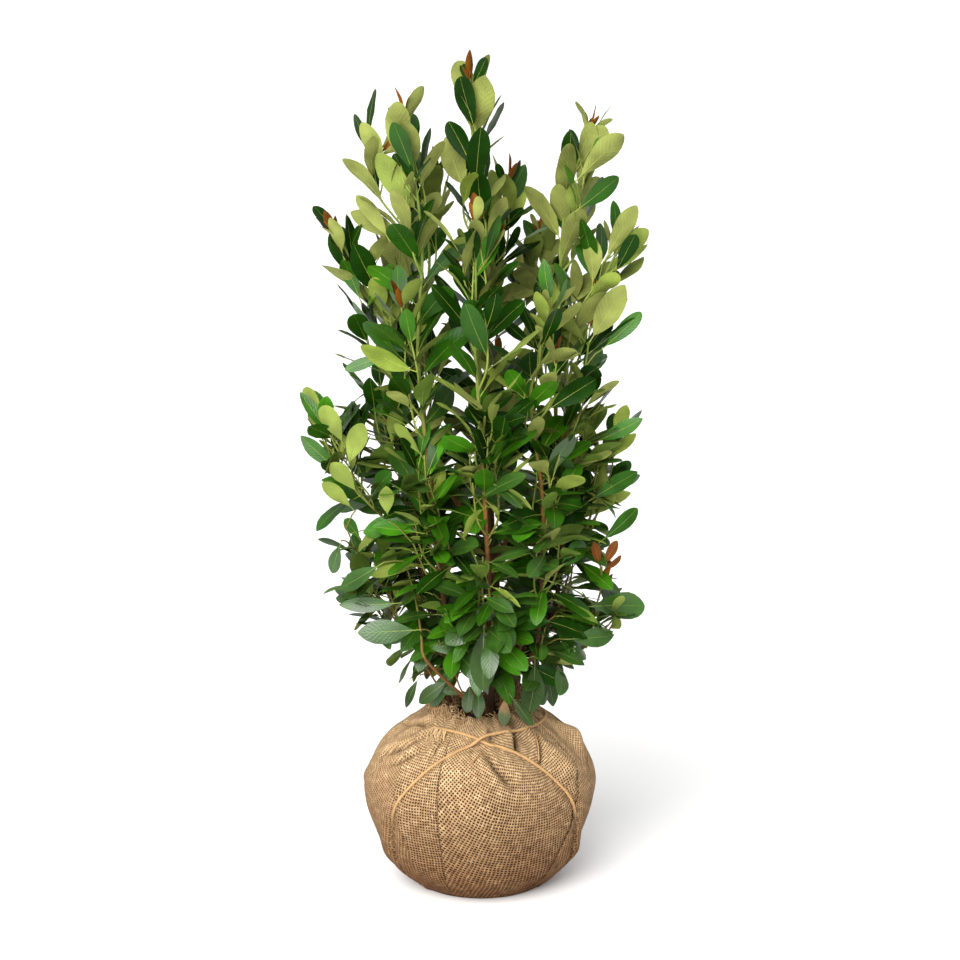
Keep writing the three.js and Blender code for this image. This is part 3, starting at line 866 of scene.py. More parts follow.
soil_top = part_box("soil_core")[1].z
SOIL_SIDES, SOIL_RINGS = 120, 34
SOIL_RADIUS = 0.098
soil_turn = all_round(SOIL_SIDES)[None, :]
soil_reach = np.linspace(0.01, 1, SOIL_RINGS)[:, None]
soil_x, soil_y = (SOIL_RADIUS * soil_reach * wave(soil_turn) for wave in (np.cos, np.sin))
crumbs = smooth_noise(21, soil_x * 100, soil_y * 100, waves=10, reach=2.2)
clods = smooth_noise(22, soil_x * 100, soil_y * 100, waves=6, reach=0.8)
fall = -0.012 * np.clip((soil_reach - 0.5) / 0.5, 0, 1) ** 1.5
soil_z = soil_top - 0.002 + 0.0016 * crumbs + 0.0028 * clods + fall
soil_material, tree, shader = node_material("moist_soil", 0.95)
place = object_place(tree)
grains = {"Vector": place, "Scale": 260.0}
grains = add_node(tree, "ShaderNodeTexVoronoi", grains).outputs["Distance"]
loam = [(0.3, (0.012, 0.008, 0.005)), (0.7, (0.07, 0.042, 0.024))]
surface(tree, shader, ramp(tree, noise(tree, place, 90.0, 5.0), loam), bump(tree, grains, 0.004))
piece(
    "soil_surface",
    np.stack([soil_x, soil_y, soil_z], -1),
    grid_faces(SOIL_RINGS, SOIL_SIDES, closed=True)[:, ::-1],
    [soil_material],
    "soil",
    ["soil_core"],
)

# ---- Frayed threads, shavings and a twig of litter ----
# The cloth's cut edge and the twine's ends have come loose in fine jute threads. Curls of
# wood fibre lie on the soil, and a dry bit of stalk has stuck to the cloth in front.

strands = np.random.default_rng(61)
frays = []
THREAD_STEPS = 9
EDGE_THREADS, TUFT_STRANDS, FINE_STRANDS, TWINE_HAIRS, SHAVINGS = 150, 9, 34, 110, 34


def loose_thread(start, direction, length, curl, radius):
    """Add a fine thread that wanders off from a place and falls over."""
    point, heading = np.array(start, float), np.array(direction, float)
    path = [point]
    for _ in range(THREAD_STEPS):
        heading = heading + strands.normal(0, curl, 3) - 0.22 * UP
        heading /= np.linalg.norm(heading)
        point = point + heading * length / THREAD_STEPS
        path.append(point)
    frays.append(tube(path, np.linspace(radius, radius * 0.6, len(path)), 4))


# All round the raw edge, thickest where the corners of the cloth come together.
for _ in range(EDGE_THREADS):
    turn = strands.uniform(0, 2 * math.pi)
    if strands.uniform() < 0.45:
        turn = front_turn(strands.normal(-42, 14))
    column = int(turn / (2 * math.pi) * NECK_SIDES) % NECK_SIDES
    row = int(strands.uniform(0.35, 0.9) * NECK_ROWS)
    way = outward_at(turn) * strands.normal(0.3, 0.6) + UP * strands.uniform(0.3, 1.1)
    loose_thread(neck[row, column], way, strands.uniform(0.008, 0.024), 0.35, 0.00035)
# A frayed tuft of thick strands hangs from the ring on the left, with finer ones beside it.
for k in range(TUFT_STRANDS):
    start = on_cloth(front_turn(-45 + 1.9 * k + strands.normal(0, 0.8)), 0.266, 0.008)
    way = 0.9 * outward_at(FRONT - 0.7) + strands.normal(0, 0.22, 3) - 0.35 * UP
    loose_thread(start, way, strands.uniform(0.020, 0.030), 0.14, 0.00125)
for _ in range(FINE_STRANDS):
    turn = front_turn(strands.normal(-37, 3.0))
    start = on_cloth(turn, strands.uniform(0.255, 0.266), 0.007)
    way = 0.5 * outward_at(turn) + strands.normal(0, 0.25, 3) - 0.8 * UP
    loose_thread(start, way, strands.uniform(0.016, 0.030), 0.16, 0.0006)
# Hairs stand off the twine.
for line in (right_twine, left_twine):
    for _ in range(TWINE_HAIRS):
        start = line[strands.integers(4, len(line) - 4)]
        way = start / np.linalg.norm(start) + strands.normal(0, 0.5, 3)
        loose_thread(start, way, strands.uniform(0.004, 0.009), 0.3, 0.00018)
loose_jute = jute_material("loose_jute", (0.62, 0.43, 0.23), (0.40, 0.26, 0.125))
piece("frayed_threads", *joined(frays), [loose_jute], "twine")

shavings = []
for _ in range(SHAVINGS):
    turn, away = strands.uniform(0, 2 * math.pi), 0.058 * math.sqrt(strands.uniform(0.05, 1))
    if strands.uniform() < 0.5:
        turn, away = FRONT + strands.normal(0, 0.35), strands.uniform(0.045, 0.066)
    centre = away * outward_at(turn) + UP * (soil_top + strands.uniform(0.002, 0.010))
    radius = strands.uniform(0.003, 0.006)
    sweep = np.linspace(0, strands.uniform(3.5, 8), 22)
    tilt = strands.normal(0, 0.5, 2)
    x, y = radius * np.cos(sweep), radius * np.sin(sweep)
    curl = np.stack([x, y, 0.0012 * sweep + tilt[0] * x + tilt[1] * y], 1) + centre
    shavings.append(tube(curl, strands.uniform(0.0006, 0.0010), 5))
shaving = jute_material("dry_shaving", (0.55, 0.34, 0.15), (0.30, 0.16, 0.06))
piece("wood_shavings", *joined(shavings), [shaving], "soil")


def streaked(name, roughness, scale, detail, stops, relief):
    """A plain material whose colour and bumps follow one noise."""
    material, tree, shader = node_material(name, roughness)
    streak = noise(tree, object_place(tree), scale, detail)
    surface(tree, shader, ramp(tree, streak, stops), bump(tree, streak, relief))
    return material


stalk_places = ((-6.5, 0.2315), (-3, 0.2385), (1, 0.2455))  # degrees right of the front, height
stalk_path = evenly([on_cloth(front_turn(d), h, 0.0024) for d, h in stalk_places], 0.001)
stalk_wave = 1 + 0.2 * smooth_noise(9, np.arange(len(stalk_path)) * 0.5, waves=5, reach=1.5)
dry = [(0.3, (0.16, 0.07, 0.025)), (0.7, (0.40, 0.21, 0.09))]
litter = streaked("dry_stalk", 0.8, 400.0, 3.0, dry, 0.0005)
piece("dry_stalk", *tube(stalk_path, 0.0011 * stalk_wave, 8), [litter], "bark")

# ---- The trunk ----
# One brown stem rises out of the soil, leaning a little, flared at its foot and tapering all
# the way up. Its bark is smooth, with fine cracks.


def unit(v):
    return v / (np.linalg.norm(v) + 1e-12)


def level_rings(points):
    """The middle and radius of each level ring of a limb that was built ring by ring."""
    heights = np.unique(np.round(points[:, 2], 4))
    rings = [points[np.abs(points[:, 2] - h) < 6e-5] for h in heights]
    middles = np.array([r.mean(0) for r in rings])
    radii = [np.linalg.norm((r - m)[:, :2], axis=1).max() for r, m in zip(rings, middles)]
    return middles, np.array(radii)


def curve_through(points, step=0.008):
    """A smooth path through a few points, at even steps."""
    points = np.asarray(points, float)
    ends = np.concatenate([[2 * points[0] - points[1]], points, [2 * points[-1] - points[-2]]])
    t = np.linspace(0, 1, 24, endpoint=False)[:, None]
    parts = []
    for a, b, c, d in zip(ends, ends[1:], ends[2:], ends[3:]):
        square, cube = 2 * a - 5 * b + 4 * c - d, 3 * b - a - 3 * c + d
        parts.append(0.5 * (2 * b + (c - a) * t + square * t**2 + cube * t**3))
    return evenly(np.concatenate([*parts, points[-1:]]), step)


def taper(path, foot, tip):
    """An even taper along a path, from one radius to another."""
    return np.linspace(foot, tip, len(path))


def limb(path, radius, sides, seed, rough=0.05):
    """A limb with slight swellings where leaves have been, and an uneven skin."""
    knots = 1 + 0.10 * np.maximum(0, np.sin(np.arange(len(path)) * 0.9 + seed)) ** 6
    points, faces = tube(path, radius * knots, sides)
    centre = np.repeat(path, sides, 0)
    uneven = 1 + rough * smooth_noise(seed, *(points.T * 60), waves=8, reach=2.5)
    points = centre + (points - centre) * uneven[:, None]
    tip = path[-1] + unit(path[-1] - path[-2]) * radius[-1]
    end = len(points)
    cap = [(end - sides + i, end - sides + (i + 1) % sides, end) for i in range(sides)]
    return np.concatenate([points, [tip]]), [*faces, *cap]


def bark_material(name, stops, from_height, to_height, relief):
    """Bark whose colour changes up the plant, from old brown wood to green young growth."""
    material, tree, shader = node_material(name, 0.7)
    place = object_place(tree)
    blotch = maths(tree, "SUBTRACT", noise(tree, place, 60.0, 3.0), 0.5)
    wander = maths(tree, "ADD", height_of(tree, place), maths(tree, "MULTIPLY", blotch, 0.16))
    colour = ramp(tree, ranged(tree, wander, from_height, to_height), stops)
    upright = {"Vector": place, "Scale": (1.0, 1.0, 0.25)}
    upright = add_node(tree, "ShaderNodeMapping", upright).outputs[0]
    cracks = {"Vector": upright, "Scale": 420.0}
    cracks = add_node(tree, "ShaderNodeTexVoronoi", cracks, feature="DISTANCE_TO_EDGE").outputs[0]
    fine = noise(tree, upright, 800.0, 3.0)
    shaded = scaled(tree, colour, ranged(tree, cracks, 0.0, 0.12, 0.72, 1.0))
    skin = bump(tree, cracks, relief, 0.6, bump(tree, fine, relief * 0.6))
    surface(tree, shader, shaded, skin, fine, (0.5, 0.85), 0.2)
    return material


trunk_rings, trunk_radii = level_rings(points_of("trunk"))
trunk_path, trunk_thick = evenly(trunk_rings, 0.006, trunk_radii)
trunk_path[0, 2] -= 0.006  # its foot is bedded in the soil
# The two lowest stops are darker than the old brown bark: painted shade, where the stems stand low
# in the crown's shadow.
old_wood_and_low_shade = [
    (0.0, (0.052, 0.025, 0.010)),
    (0.42, (0.085, 0.038, 0.013)),
    (0.58, (0.24, 0.105, 0.024)),
    (0.74, (0.19, 0.165, 0.032)),
    (1.0, (0.19, 0.26, 0.045)),
]
old_bark = bark_material("laurel_bark", old_wood_and_low_shade, 0.28, 0.86, 0.0016)
piece("trunk_wood", *limb(trunk_path, trunk_thick, 20, 31, 0.06), [old_bark], "bark", ["trunk"])

# ---- The boughs ----
# Upright stems leave the foot of the trunk one above another and run on up through the
# foliage to its tips, brown and hard below, orange-brown higher up, then green.

LEVEL = np.array([1, 1, 0])  # the level part of a direction
STEM_PARTS = ("low", "middle", "upper", "top")
# Each kind of limb's radius at its foot and its tip.
BOUGH, UPPER_BOUGH, LEADER = (0.0048, 0.0017), (0.0042, 0.0018), (0.0033, 0.0017)
stem_names = [n[6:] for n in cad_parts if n.startswith("bough_")]


def foliage_nodes(stem):
    """The masses of foliage that a stem carries, from the lowest up."""
    names = [f"foliage_{stem}_{part}" for part in STEM_PARTS]
    return [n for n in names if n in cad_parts]


class Mass:
    """A mass of foliage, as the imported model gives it."""

    def __init__(self, node):
        points = points_of(node)
        self.foot = points[points[:, 2].argmin()]
        self.tip = points[points[:, 2].argmax()]
        self.centre = (points.min(0) + points.max(0)) / 2
        self.length = np.linalg.norm(self.tip - self.foot)
        self.axis = (self.tip - self.foot) / self.length
        self.tree = tree_of(points, faces_of(node))

    def reach(self, start, direction):
        """How far the mass goes on from a point inside it."""
        return self.tree.ray_cast(Vector(start), Vector(direction))[3] or 0.0


masses = {n: Mass(n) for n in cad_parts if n.startswith("foliage_")}


def trunk_at(height):
    """The middle of the trunk at a height."""
    return np.array([np.interp(height, trunk_rings[:, 2], trunk_rings[:, k]) for k in range(3)])


def bough_ends(node):
    """The foot of a bough, near the trunk, and its far end."""
    points = points_of(node)
    order = np.argsort([np.hypot(*(p - trunk_at(p[2]))[:2]) for p in points])
    few = max(4, len(points) // 6)
    return points[order[:few]].mean(0), points[order[-few:]].mean(0)


def add_stem(name, way, foot, tip):
    """Keep the line and thickness of a limb that carries shoots."""
    line = curve_through(way)
    stems[name] = (line, taper(line, foot, tip))


BUD_BELOW_TIP = 0.040  # the leading bud lies this far under the tips of its young leaves
stems = {}
for stem in stem_names:
    foot, end = bough_ends(f"bough_{stem}")
    own = [masses[n] for n in foliage_nodes(stem)]
    last = own[-1]
    way = [trunk_at(foot[2] - 0.006), foot, end, *[mass.centre for mass in own[:-1]]]
    way += [last.foot * 0.55 + last.centre * 0.45, last.centre]
    way.append(last.tip - last.axis * BUD_BELOW_TIP)
    way = [way[0]] + [p for a, p in zip(way, way[1:]) if p[2] - a[2] > 0.004]
    add_stem(stem, way, *BOUGH)
for stem in [n[12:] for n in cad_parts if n.startswith("upper_bough_")]:
    foot, end = bough_ends(f"upper_bough_{stem}")
    mass = masses[foliage_nodes(stem)[1]]
    outside = mass.centre - trunk_at(mass.centre[2])
    goal = mass.centre + mass.axis * 0.25 * mass.length + outside * 0.12
    way = [trunk_at(foot[2] - 0.006), foot, end, mass.centre - outside * 0.1, goal]
    add_stem("upper_" + stem, way, *UPPER_BOUGH)

# The trunk itself runs on as the centre's leading shoot.
crown = masses["foliage_centre_top"]
leading_bud = crown.tip - crown.axis * BUD_BELOW_TIP
add_stem("leader", [trunk_rings[-3], trunk_rings[-1], crown.centre, leading_bud], *LEADER)


def nearest_limb(point, drop):
    """The place on a limb to leave it for a point, at least so far below it."""
    best = None
    for line, thick in stems.values():
        below = np.where(line[:, 2] < point[2] - drop)[0]
        if not len(below):
            continue
        away = np.linalg.norm(line[below] - (point - drop * UP), axis=1)
        k = away.argmin()
        if best is None or away[k] < best[0]:
            best = (away[k], line[below[k]], thick[below[k]])
    return best[1:]


side_masses = [n for n in masses if n != "foliage_centre_top"]
side_masses = [n for n in side_masses if not n.endswith(tuple("_" + p for p in STEM_PARTS))]
for node in sorted(side_masses):
    mass = masses[node]
    start, thick = nearest_limb(mass.foot, 0.05)
    goal = mass.tip - mass.axis * BUD_BELOW_TIP
    by_foot = mass.foot * 0.7 + mass.centre * 0.3
    middle = mass.centre
    if node.endswith("_skirt"):
        # The lowest side limbs rise steeply, and their leaves reach out past them.
        inward = unit(trunk_at(mass.centre[2]) - mass.centre)
        by_foot = by_foot + inward * 0.030 - 0.012 * UP
        middle = mass.centre + inward * 0.022
        goal = mass.centre + inward * 0.006 + 0.055 * UP
    elif node == "foliage_left_tip":
        goal = goal + np.array([0.034, 0, -0.004])  # it leans in at the top
    add_stem(node[8:], [start, by_foot, middle, goal], min(0.0024, thick * 0.7), 0.0014)

side_limbs = [node[8:] for node in side_masses]
limb_list = [
    limb(line, thick, 10, 40 + number)
    for number, (name, (line, thick)) in enumerate(stems.items())
    if name not in side_limbs
]
boughs = [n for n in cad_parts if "bough_" in n]
piece("bough_wood", *joined(limb_list), [old_bark], "bark", boughs)

# ---- The side shoots ----
# Green twigs of this year and last. They leave the stems by a rule: one after another round
# and up each mass of foliage, bending up towards the light, to end just inside its outline.

rng = np.random.default_rng(355)
GOLDEN = math.radians(137.5)
REACH_INSIDE = 0.036  # a shoot stops this far inside the mass, and its leaves fill the rest
# From one shoot's tip to the next along a mass, at heights from the lowest foliage up.
SHOOT_HEIGHTS = (0.42, 0.60, 0.78, 0.95, 1.15)
SHOOT_SPACING = (0.028, 0.031, 0.040, 0.060, 0.100)


def square_to(way, line):
    """The part of a way that stands square to a line."""
    return unit(way - line * line.dot(way))


shoots = [{"line": line, "leads": True, "name": name} for name, (line, _) in stems.items()]
limb_names = {node: stem for stem in stem_names for node in foliage_nodes(stem)}
limb_names.update({node: node[8:] for node in side_masses}, foliage_centre_top="leader")
twig_list = [limb(*stems[name], 8, 70 + number) for number, name in enumerate(side_limbs)]
for node in sorted(masses):
    mass = masses[node]
    line, thick = stems[limb_names[node]]
    outside = unit((mass.centre - trunk_at(mass.centre[2])) * LEVEL + 1e-6)
    spacing = np.interp(mass.centre[2], SHOOT_HEIGHTS, SHOOT_SPACING)
    count = max(1, round(mass.length / spacing))
    spin = rng.uniform(0, 2 * math.pi)
    for i in range(count):
        share = 0.32 + 0.60 * (i + rng.uniform(0.2, 0.8)) / count
        middle = mass.foot + (mass.tip - mass.foot) * share
        radial = unit(np.cross(mass.axis, outward_at(spin + i * GOLDEN, 0.1)))
        if node != "foliage_centre_top":
            radial = unit(radial + 0.55 * outside)
        radial = square_to(radial, mass.axis)
        room = mass.reach(middle, radial)
        if room < 0.012:
            continue
        tip = middle + radial * max(0.008, room - REACH_INSIDE)
        below = rng.uniform(0.075, 0.125)
        k = np.linalg.norm(line - (tip - below * UP), axis=1).argmin()
        base = line[k]
        away = tip - base
        if np.linalg.norm(away) < 0.045:
            continue
        first = base + 0.45 * np.linalg.norm(away) * unit(unit(away) + 0.6 * radial)
        bend = first * 0.5 + tip * 0.5 + radial * 0.006
        twig = curve_through([base, base * 0.45 + bend * 0.55 + radial * 0.004, tip], 0.006)
        width = min(thick[k] * 0.75, 0.0019)
        twig_list.append(limb(twig, taper(twig, width, 0.0012), 7, 90 + len(twig_list)))
        shoots.append({"line": twig, "leads": False, "name": node})
young = [(0.0, (0.12, 0.085, 0.022)), (0.5, (0.19, 0.22, 0.040)), (1.0, (0.24, 0.32, 0.060))]
young_bark = bark_material("young_shoot", young, 0.35, 0.95, 0.0005)
piece("side_shoots", *joined(twig_list), [young_bark], "bark")

# ---- The leaves ----
# Leathery evergreen blades on short stalks, set spirally up each shoot. They are dark and
# glossy above with a pale midrib, and pale, matt and finely veined below.

BLADE_ROWS = np.array([0.0, 0.07, 0.17, 0.30, 0.44, 0.58, 0.71, 0.83, 0.92, 0.975, 1.0])
BLADE_COLUMNS = np.array([-1.0, -0.62, 0.0, 0.62, 1.0])
STALK_SIDES = 4
THIN = 0.00045  # between the two faces of a blade


def blades(leaves):
    """Points, faces, patches and maps of many leaves at once: upper face, underside, stalk."""
    get = {key: np.array([row[key] for row in leaves]) for key in leaves[0]}
    deep = {key: value[:, None, None] for key, value in get.items() if value.ndim == 1}
    count, rows, columns = len(leaves), len(BLADE_ROWS), len(BLADE_COLUMNS)
    t = BLADE_ROWS[None, :, None]
    w = BLADE_COLUMNS[None, None, :]
    length = deep["length"]
    power = 0.95 + deep["full"]  # the fuller, the nearer the tip it is widest
    blunt = deep["blunt"]
    outline = np.clip(t, 1e-4, 1) ** power * np.clip(1 - t, 0, 1) ** blunt
    peak = power / (power + blunt)
    half = outline / (peak**power * (1 - peak) ** blunt) * deep["width"] * length / 2
    # The midrib's bow, summed along the blade.
    bow = deep["bend"] * t**1.3 - deep["lift"] * (1 - t) ** 2
    steps = np.diff(t, axis=1) * length
    mean = (bow[:, 1:] + bow[:, :-1]) / 2
    zeros = np.zeros((count, 1, 1))
    rib_x = np.concatenate([zeros, np.cumsum(np.cos(mean) * steps, 1)], 1)
    rib_z = -np.concatenate([zeros, np.cumsum(np.sin(mean) * steps, 1)], 1)
    fold = deep["fold"] * (1 - 0.35 * t)
    across = w * half * np.cos(fold)
    rise = np.abs(w) * half * np.sin(fold) - 0.10 * half * w**2 * deep["cup"]
    wave = np.sin(2 * math.pi * (deep["ripples"] * t) + deep["phase"])
    rise = rise + 0.055 * half * w**2 * wave * np.where(w > 0, 1.0, -0.8)
    twist = deep["twist"] * t
    y = across * np.cos(twist) - rise * np.sin(twist)
    z = across * np.sin(twist) + rise * np.cos(twist)
    side = deep["sway"] * t**2 * length
    blade = np.stack([rib_x + z * np.sin(bow), y + side, rib_z + z * np.cos(bow)], -1)
    # The stalk runs from the shoot and on under the blade as its midrib.
    back = np.array([[-1.0], [-0.45]]) * deep["stalk"] * np.array([1.0, 0, 0])
    back = back + UP * deep["hang"] * np.array([[-1.0], [-0.3]])
    rib = np.concatenate([back, np.concatenate([rib_x, side, rib_z], -1)], 1)
    reach = np.concatenate([[0, 0], BLADE_ROWS])
    thick = get["length"][:, None] * (0.0100 - 0.0083 * reach**0.7)
    thick[:, :2] *= 1.15
    thick = thick[:, :, None]
    turn = all_round(STALK_SIDES) + math.pi / 4
    sunk = np.concatenate([np.zeros(2), np.full(rows, 0.45)])[:, None]
    ring = [0 * turn * thick, np.cos(turn) * thick, (0.9 * np.sin(turn) - sunk) * thick]
    stalk = rib[:, :, None] + np.stack(ring, -1)

    ahead, up = get["ahead"], get["up"]
    axes = np.stack([ahead, np.cross(up, ahead), up], 1)
    place = get["place"][:, None, None, :]
    top, stalk = (np.einsum("nrck,nkx->nrcx", part, axes) + place for part in (blade, stalk))
    down = up[:, None, None, :] * THIN * (1 - 0.8 * w[..., None] ** 4)
    bottom = top - down * (0.3 + 0.7 * np.sin(math.pi * t[..., None]))
    points = np.concatenate([part.reshape(-1, 3) for part in (top, bottom, stalk)])

    one = grid_faces(rows, columns)
    turned_over = one[:, [0, 3, 2, 1]]
    ring = grid_faces(len(reach), STALK_SIDES, closed=True)
    sizes = (rows * columns, rows * columns, len(reach) * STALK_SIDES)
    faces, start = [], 0
    for part, size in zip((one, turned_over, ring), sizes):
        faces.append((part + (np.arange(count) * size)[:, None, None]).reshape(-1, 4) + start)
        start += count * size
    patches = np.repeat([0, 1, 2], [len(part) for part in faces])
    flat = np.stack([t + 0 * w, 0.5 + 0.5 * w + 0 * t], -1)
    flat = np.broadcast_to(flat, (count, rows, columns, 2)).reshape(-1, 2)
    maps = np.concatenate([flat, flat, np.zeros((stalk.size // 3, 2))])
    return points, np.concatenate(faces), patches, maps


def leaf_piece(name, rows, materials, nodes=()):
    """Leaves as one piece, with one material or one each for upper face, underside and stalk."""
    points, faces, patches, maps = blades(rows)
    patches = patches if len(materials) > 1 else None
    piece(name, points, faces, materials, "foliage", nodes, uv=maps, patches=patches)


def vein_group():
    """A leaf's side veins as a node group: arcs from the midrib towards the margin."""
    group, enter, leave = shader_group(
        "leaf_veins", {"Vector": "Vector", "Pairs": "Float"}, {"Vein": "Float", "Blade": "Float"}
    )
    split = add_node(group, "ShaderNodeSeparateXYZ", {0: enter["Vector"]}).outputs
    off = maths(group, "ABSOLUTE", maths(group, "SUBTRACT", split[1], 0.5))
    back = maths(group, "MULTIPLY", maths(group, "POWER", off, 0.85), 0.42)
    level = maths(group, "SUBTRACT", split[0], back)
    pairs = maths(group, "MULTIPLY", level, enter["Pairs"])
    ridge = maths(group, "COSINE", maths(group, "MULTIPLY", pairs, 2 * math.pi))
    vein = {0: ridge, 1: 0.86, 2: 1.0}
    vein = add_node(group, "ShaderNodeMapRange", vein, interpolation_type="SMOOTHSTEP").outputs[0]
    blade = maths(group, "ADD", maths(group, "MULTIPLY", ridge, -0.5), 0.5)
    group.links.new(vein, leave["Vein"])
    group.links.new(blade, leave["Blade"])
    return group


leaf_veins = vein_group()
VEIN_PAIRS = 11.0


def tinted(colour, times, more=0.0):
    """A colour made lighter or darker."""
    return tuple(times * c + more for c in colour)


def leaf_material(name, colour, vein_colour, strength, roughness, puff, gloss):
    """One face of a leaf: its plain colour, a little uneven, with its veins."""
    material, tree, shader = node_material(name, roughness)
    place = add_node(tree, "ShaderNodeTexCoord").outputs
    inputs = {"Vector": place["UV"], "Pairs": VEIN_PAIRS}
    veins = add_node(tree, "ShaderNodeGroup", inputs, node_tree=leaf_veins).outputs
    patch = noise(tree, place["Object"], 24.0, 2.0)
    body = [(0.3, tinted(colour, 0.62)), (0.52, colour), (0.74, tinted(colour, 1.35))]
    amount = maths(tree, "MULTIPLY", veins["Vein"], strength)
    veined = mix(tree, "MIX", amount, ramp(tree, patch, body), vein_colour)
    grain = noise(tree, place["Object"], 420.0, 2.0)
    normal = bump(tree, veins["Blade"], puff, 1.0, bump(tree, grain, 0.0003))
    surface(tree, shader, veined, normal, grain, (roughness - 0.06, roughness + 0.10), gloss)
    return material


def plain_stalk(name, colour):
    """The stalk and midrib: smooth, firm and yellowish."""
    return streaked(name, 0.5, 160.0, 2.0, [(0.35, tinted(colour, 0.75)), (0.6, colour)], 0.0003)


# Kinds of leaf by age, and a "shade" kind for the low crown whose darker underside is painted
# shade: upper face, underside, and stalk with midrib.
LEAF_KINDS = {
    "shade": ((0.024, 0.073, 0.007), (0.105, 0.170, 0.024), (0.19, 0.26, 0.04)),
    "deep": ((0.014, 0.064, 0.0015), (0.185, 0.240, 0.045), (0.19, 0.25, 0.03)),
    "green": ((0.028, 0.116, 0.002), (0.235, 0.305, 0.052), (0.28, 0.36, 0.04)),
    "bright": ((0.042, 0.180, 0.005), (0.23, 0.31, 0.045), (0.36, 0.46, 0.05)),
    "pale": ((0.007, 0.034, 0.0015), (0.226, 0.256, 0.062), (0.34, 0.37, 0.06)),
    "old": ((0.024, 0.052, 0.010), (0.10, 0.13, 0.035), (0.20, 0.23, 0.06)),
}
# How strongly each kind's upper face shines.
LEAF_GLOSS = {"shade": 0.48, "deep": 0.22, "green": 0.33, "bright": 0.28, "pale": 0.06, "old": 0.20}

OFF_THE_BALL = 0.012  # leaves keep this far away from the ball
PAST_THE_BOX = 0.008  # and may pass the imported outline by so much
lowest_corner = np.array(cad_box[0]) - PAST_THE_BOX
highest_corner = np.array(cad_box[1]) + PAST_THE_BOX
all_masses = tree_of(*joined([(points_of(n), faces_of(n)) for n in sorted(masses)]))
# How far they may pass the masses of foliage, at heights above the ball.
PAST_HEIGHTS, PAST_THE_MASS = (0.355, 0.365, 0.95, 1.05), (0.066, 0.036, 0.036, 0.026)
# The widest that they may reach from the plant's axis, likewise.
CLEAR_HEIGHTS, CLEAR_REACH = (0.33, 0.37, 0.41, 0.45), (0.150, 0.180, 0.215, 0.300)


def too_far(point):
    """Whether a leaf's tip would stand out of the crown or into the ball."""
    if np.any(point < lowest_corner) or np.any(point > highest_corner):
        return True
    away = math.hypot(point[0], point[1])
    if away > np.interp(point[2], CLEAR_HEIGHTS, CLEAR_REACH):
        return True
    if point[2] < rim_height + 0.03:
        side = math.atan2(point[1], point[0])
        level = min(max(point[2], 0.01), rim_height - 0.005)
        if away < float(ball_radius(side, np.array(level))) + OFF_THE_BALL:
            return True
    hit, normal, _, distance = all_masses.find_nearest(Vector(point))
    outside = (Vector(point) - hit).dot(normal) > 0
    return outside and distance > np.interp(point[2], PAST_HEIGHTS, PAST_THE_MASS)


leaf_rows = {kind: [] for kind in LEAF_KINDS}
bronze_rows = []
# Shares of the kinds of leaf, in the same order, at four heights up the crown.
KIND_HEIGHTS = (0.45, 0.65, 0.80, 0.95)
KIND_SHARES = [
    (0.54, 0.20, 0.02, 0.00),
    (0.15, 0.28, 0.26, 0.22),
    (0.16, 0.25, 0.22, 0.08),
    (0.11, 0.11, 0.07, 0.03),
    (0.02, 0.15, 0.42, 0.67),
]


def kind_at(height, chance):
    """The kind of leaf that a spray at this height bears."""
    shares = [np.interp(height, KIND_HEIGHTS, s) for s in KIND_SHARES]
    return list(LEAF_KINDS)[int(np.searchsorted(np.cumsum(shares) / sum(shares), chance))]


# How a leaf is carried, at heights from the lowest foliage to the top of the crown.
HEIGHTS = (0.34, 0.46, 0.60, 0.75, 0.90, 1.10, 1.28)
SPREAD = (1.36, 1.18, 1.00, 0.84, 0.70, 0.57, 0.52)  # its angle from the shoot, in radians
SAG = (0.90, 0.66, 0.44, 0.20, 0.06, 0.0, 0.0)  # how much its weight bends it down
UPWARD = (0.70, 0.55, 0.38, 0.22, 0.12, 0.06, 0.04)  # how far its face turns to the sky
LENGTH = (0.070, 0.082, 0.083, 0.082, 0.086, 0.092, 0.094)
GAP = (0.018, 0.0185, 0.020, 0.0225, 0.027, 0.031, 0.037)  # along the shoot to the next leaf
ROLL = (0.46, 0.46, 0.46, 0.46, 0.50, 0.60, 0.65)  # how far stalks turn their blades aside
TURNED = (0.0, 0.0, 0.15, 0.50, 0.68, 0.38, 0.05)  # share of outer blades that face outwards


def blade_row(place, ahead, up, length, bend, stalk):
    """One leaf's numbers: where it stands, and how it has grown. Upper ones are rounder."""
    rounder = float(np.interp(place[2], (0.55, 0.85), (0.0, 1.0)))
    return {
        "place": place,
        "ahead": ahead,
        "up": up,
        "length": length,
        "width": rng.uniform(0.35, 0.46) + 0.01 * rounder,
        "full": rng.uniform(0.05, 0.45) - 0.20 * rounder,
        "blunt": rng.uniform(0.66, 0.96) - 0.14 * rounder,
        "bend": bend,
        "lift": rng.uniform(0.0, 0.12),
        "fold": rng.uniform(0.06, 0.36),
        "cup": rng.uniform(0.3, 1.6),
        "ripples": rng.uniform(1.0, 2.6),
        "phase": rng.uniform(0, 6.28),
        "twist": rng.normal(0, 0.22),
        "sway": rng.normal(0, 0.06),
        "stalk": stalk,
        "hang": 0.0015,
    }


def rolled(up, ahead, angle):
    """A leaf's upward side turned about the way it points."""
    return up * math.cos(angle) + np.cross(ahead, up) * math.sin(angle)


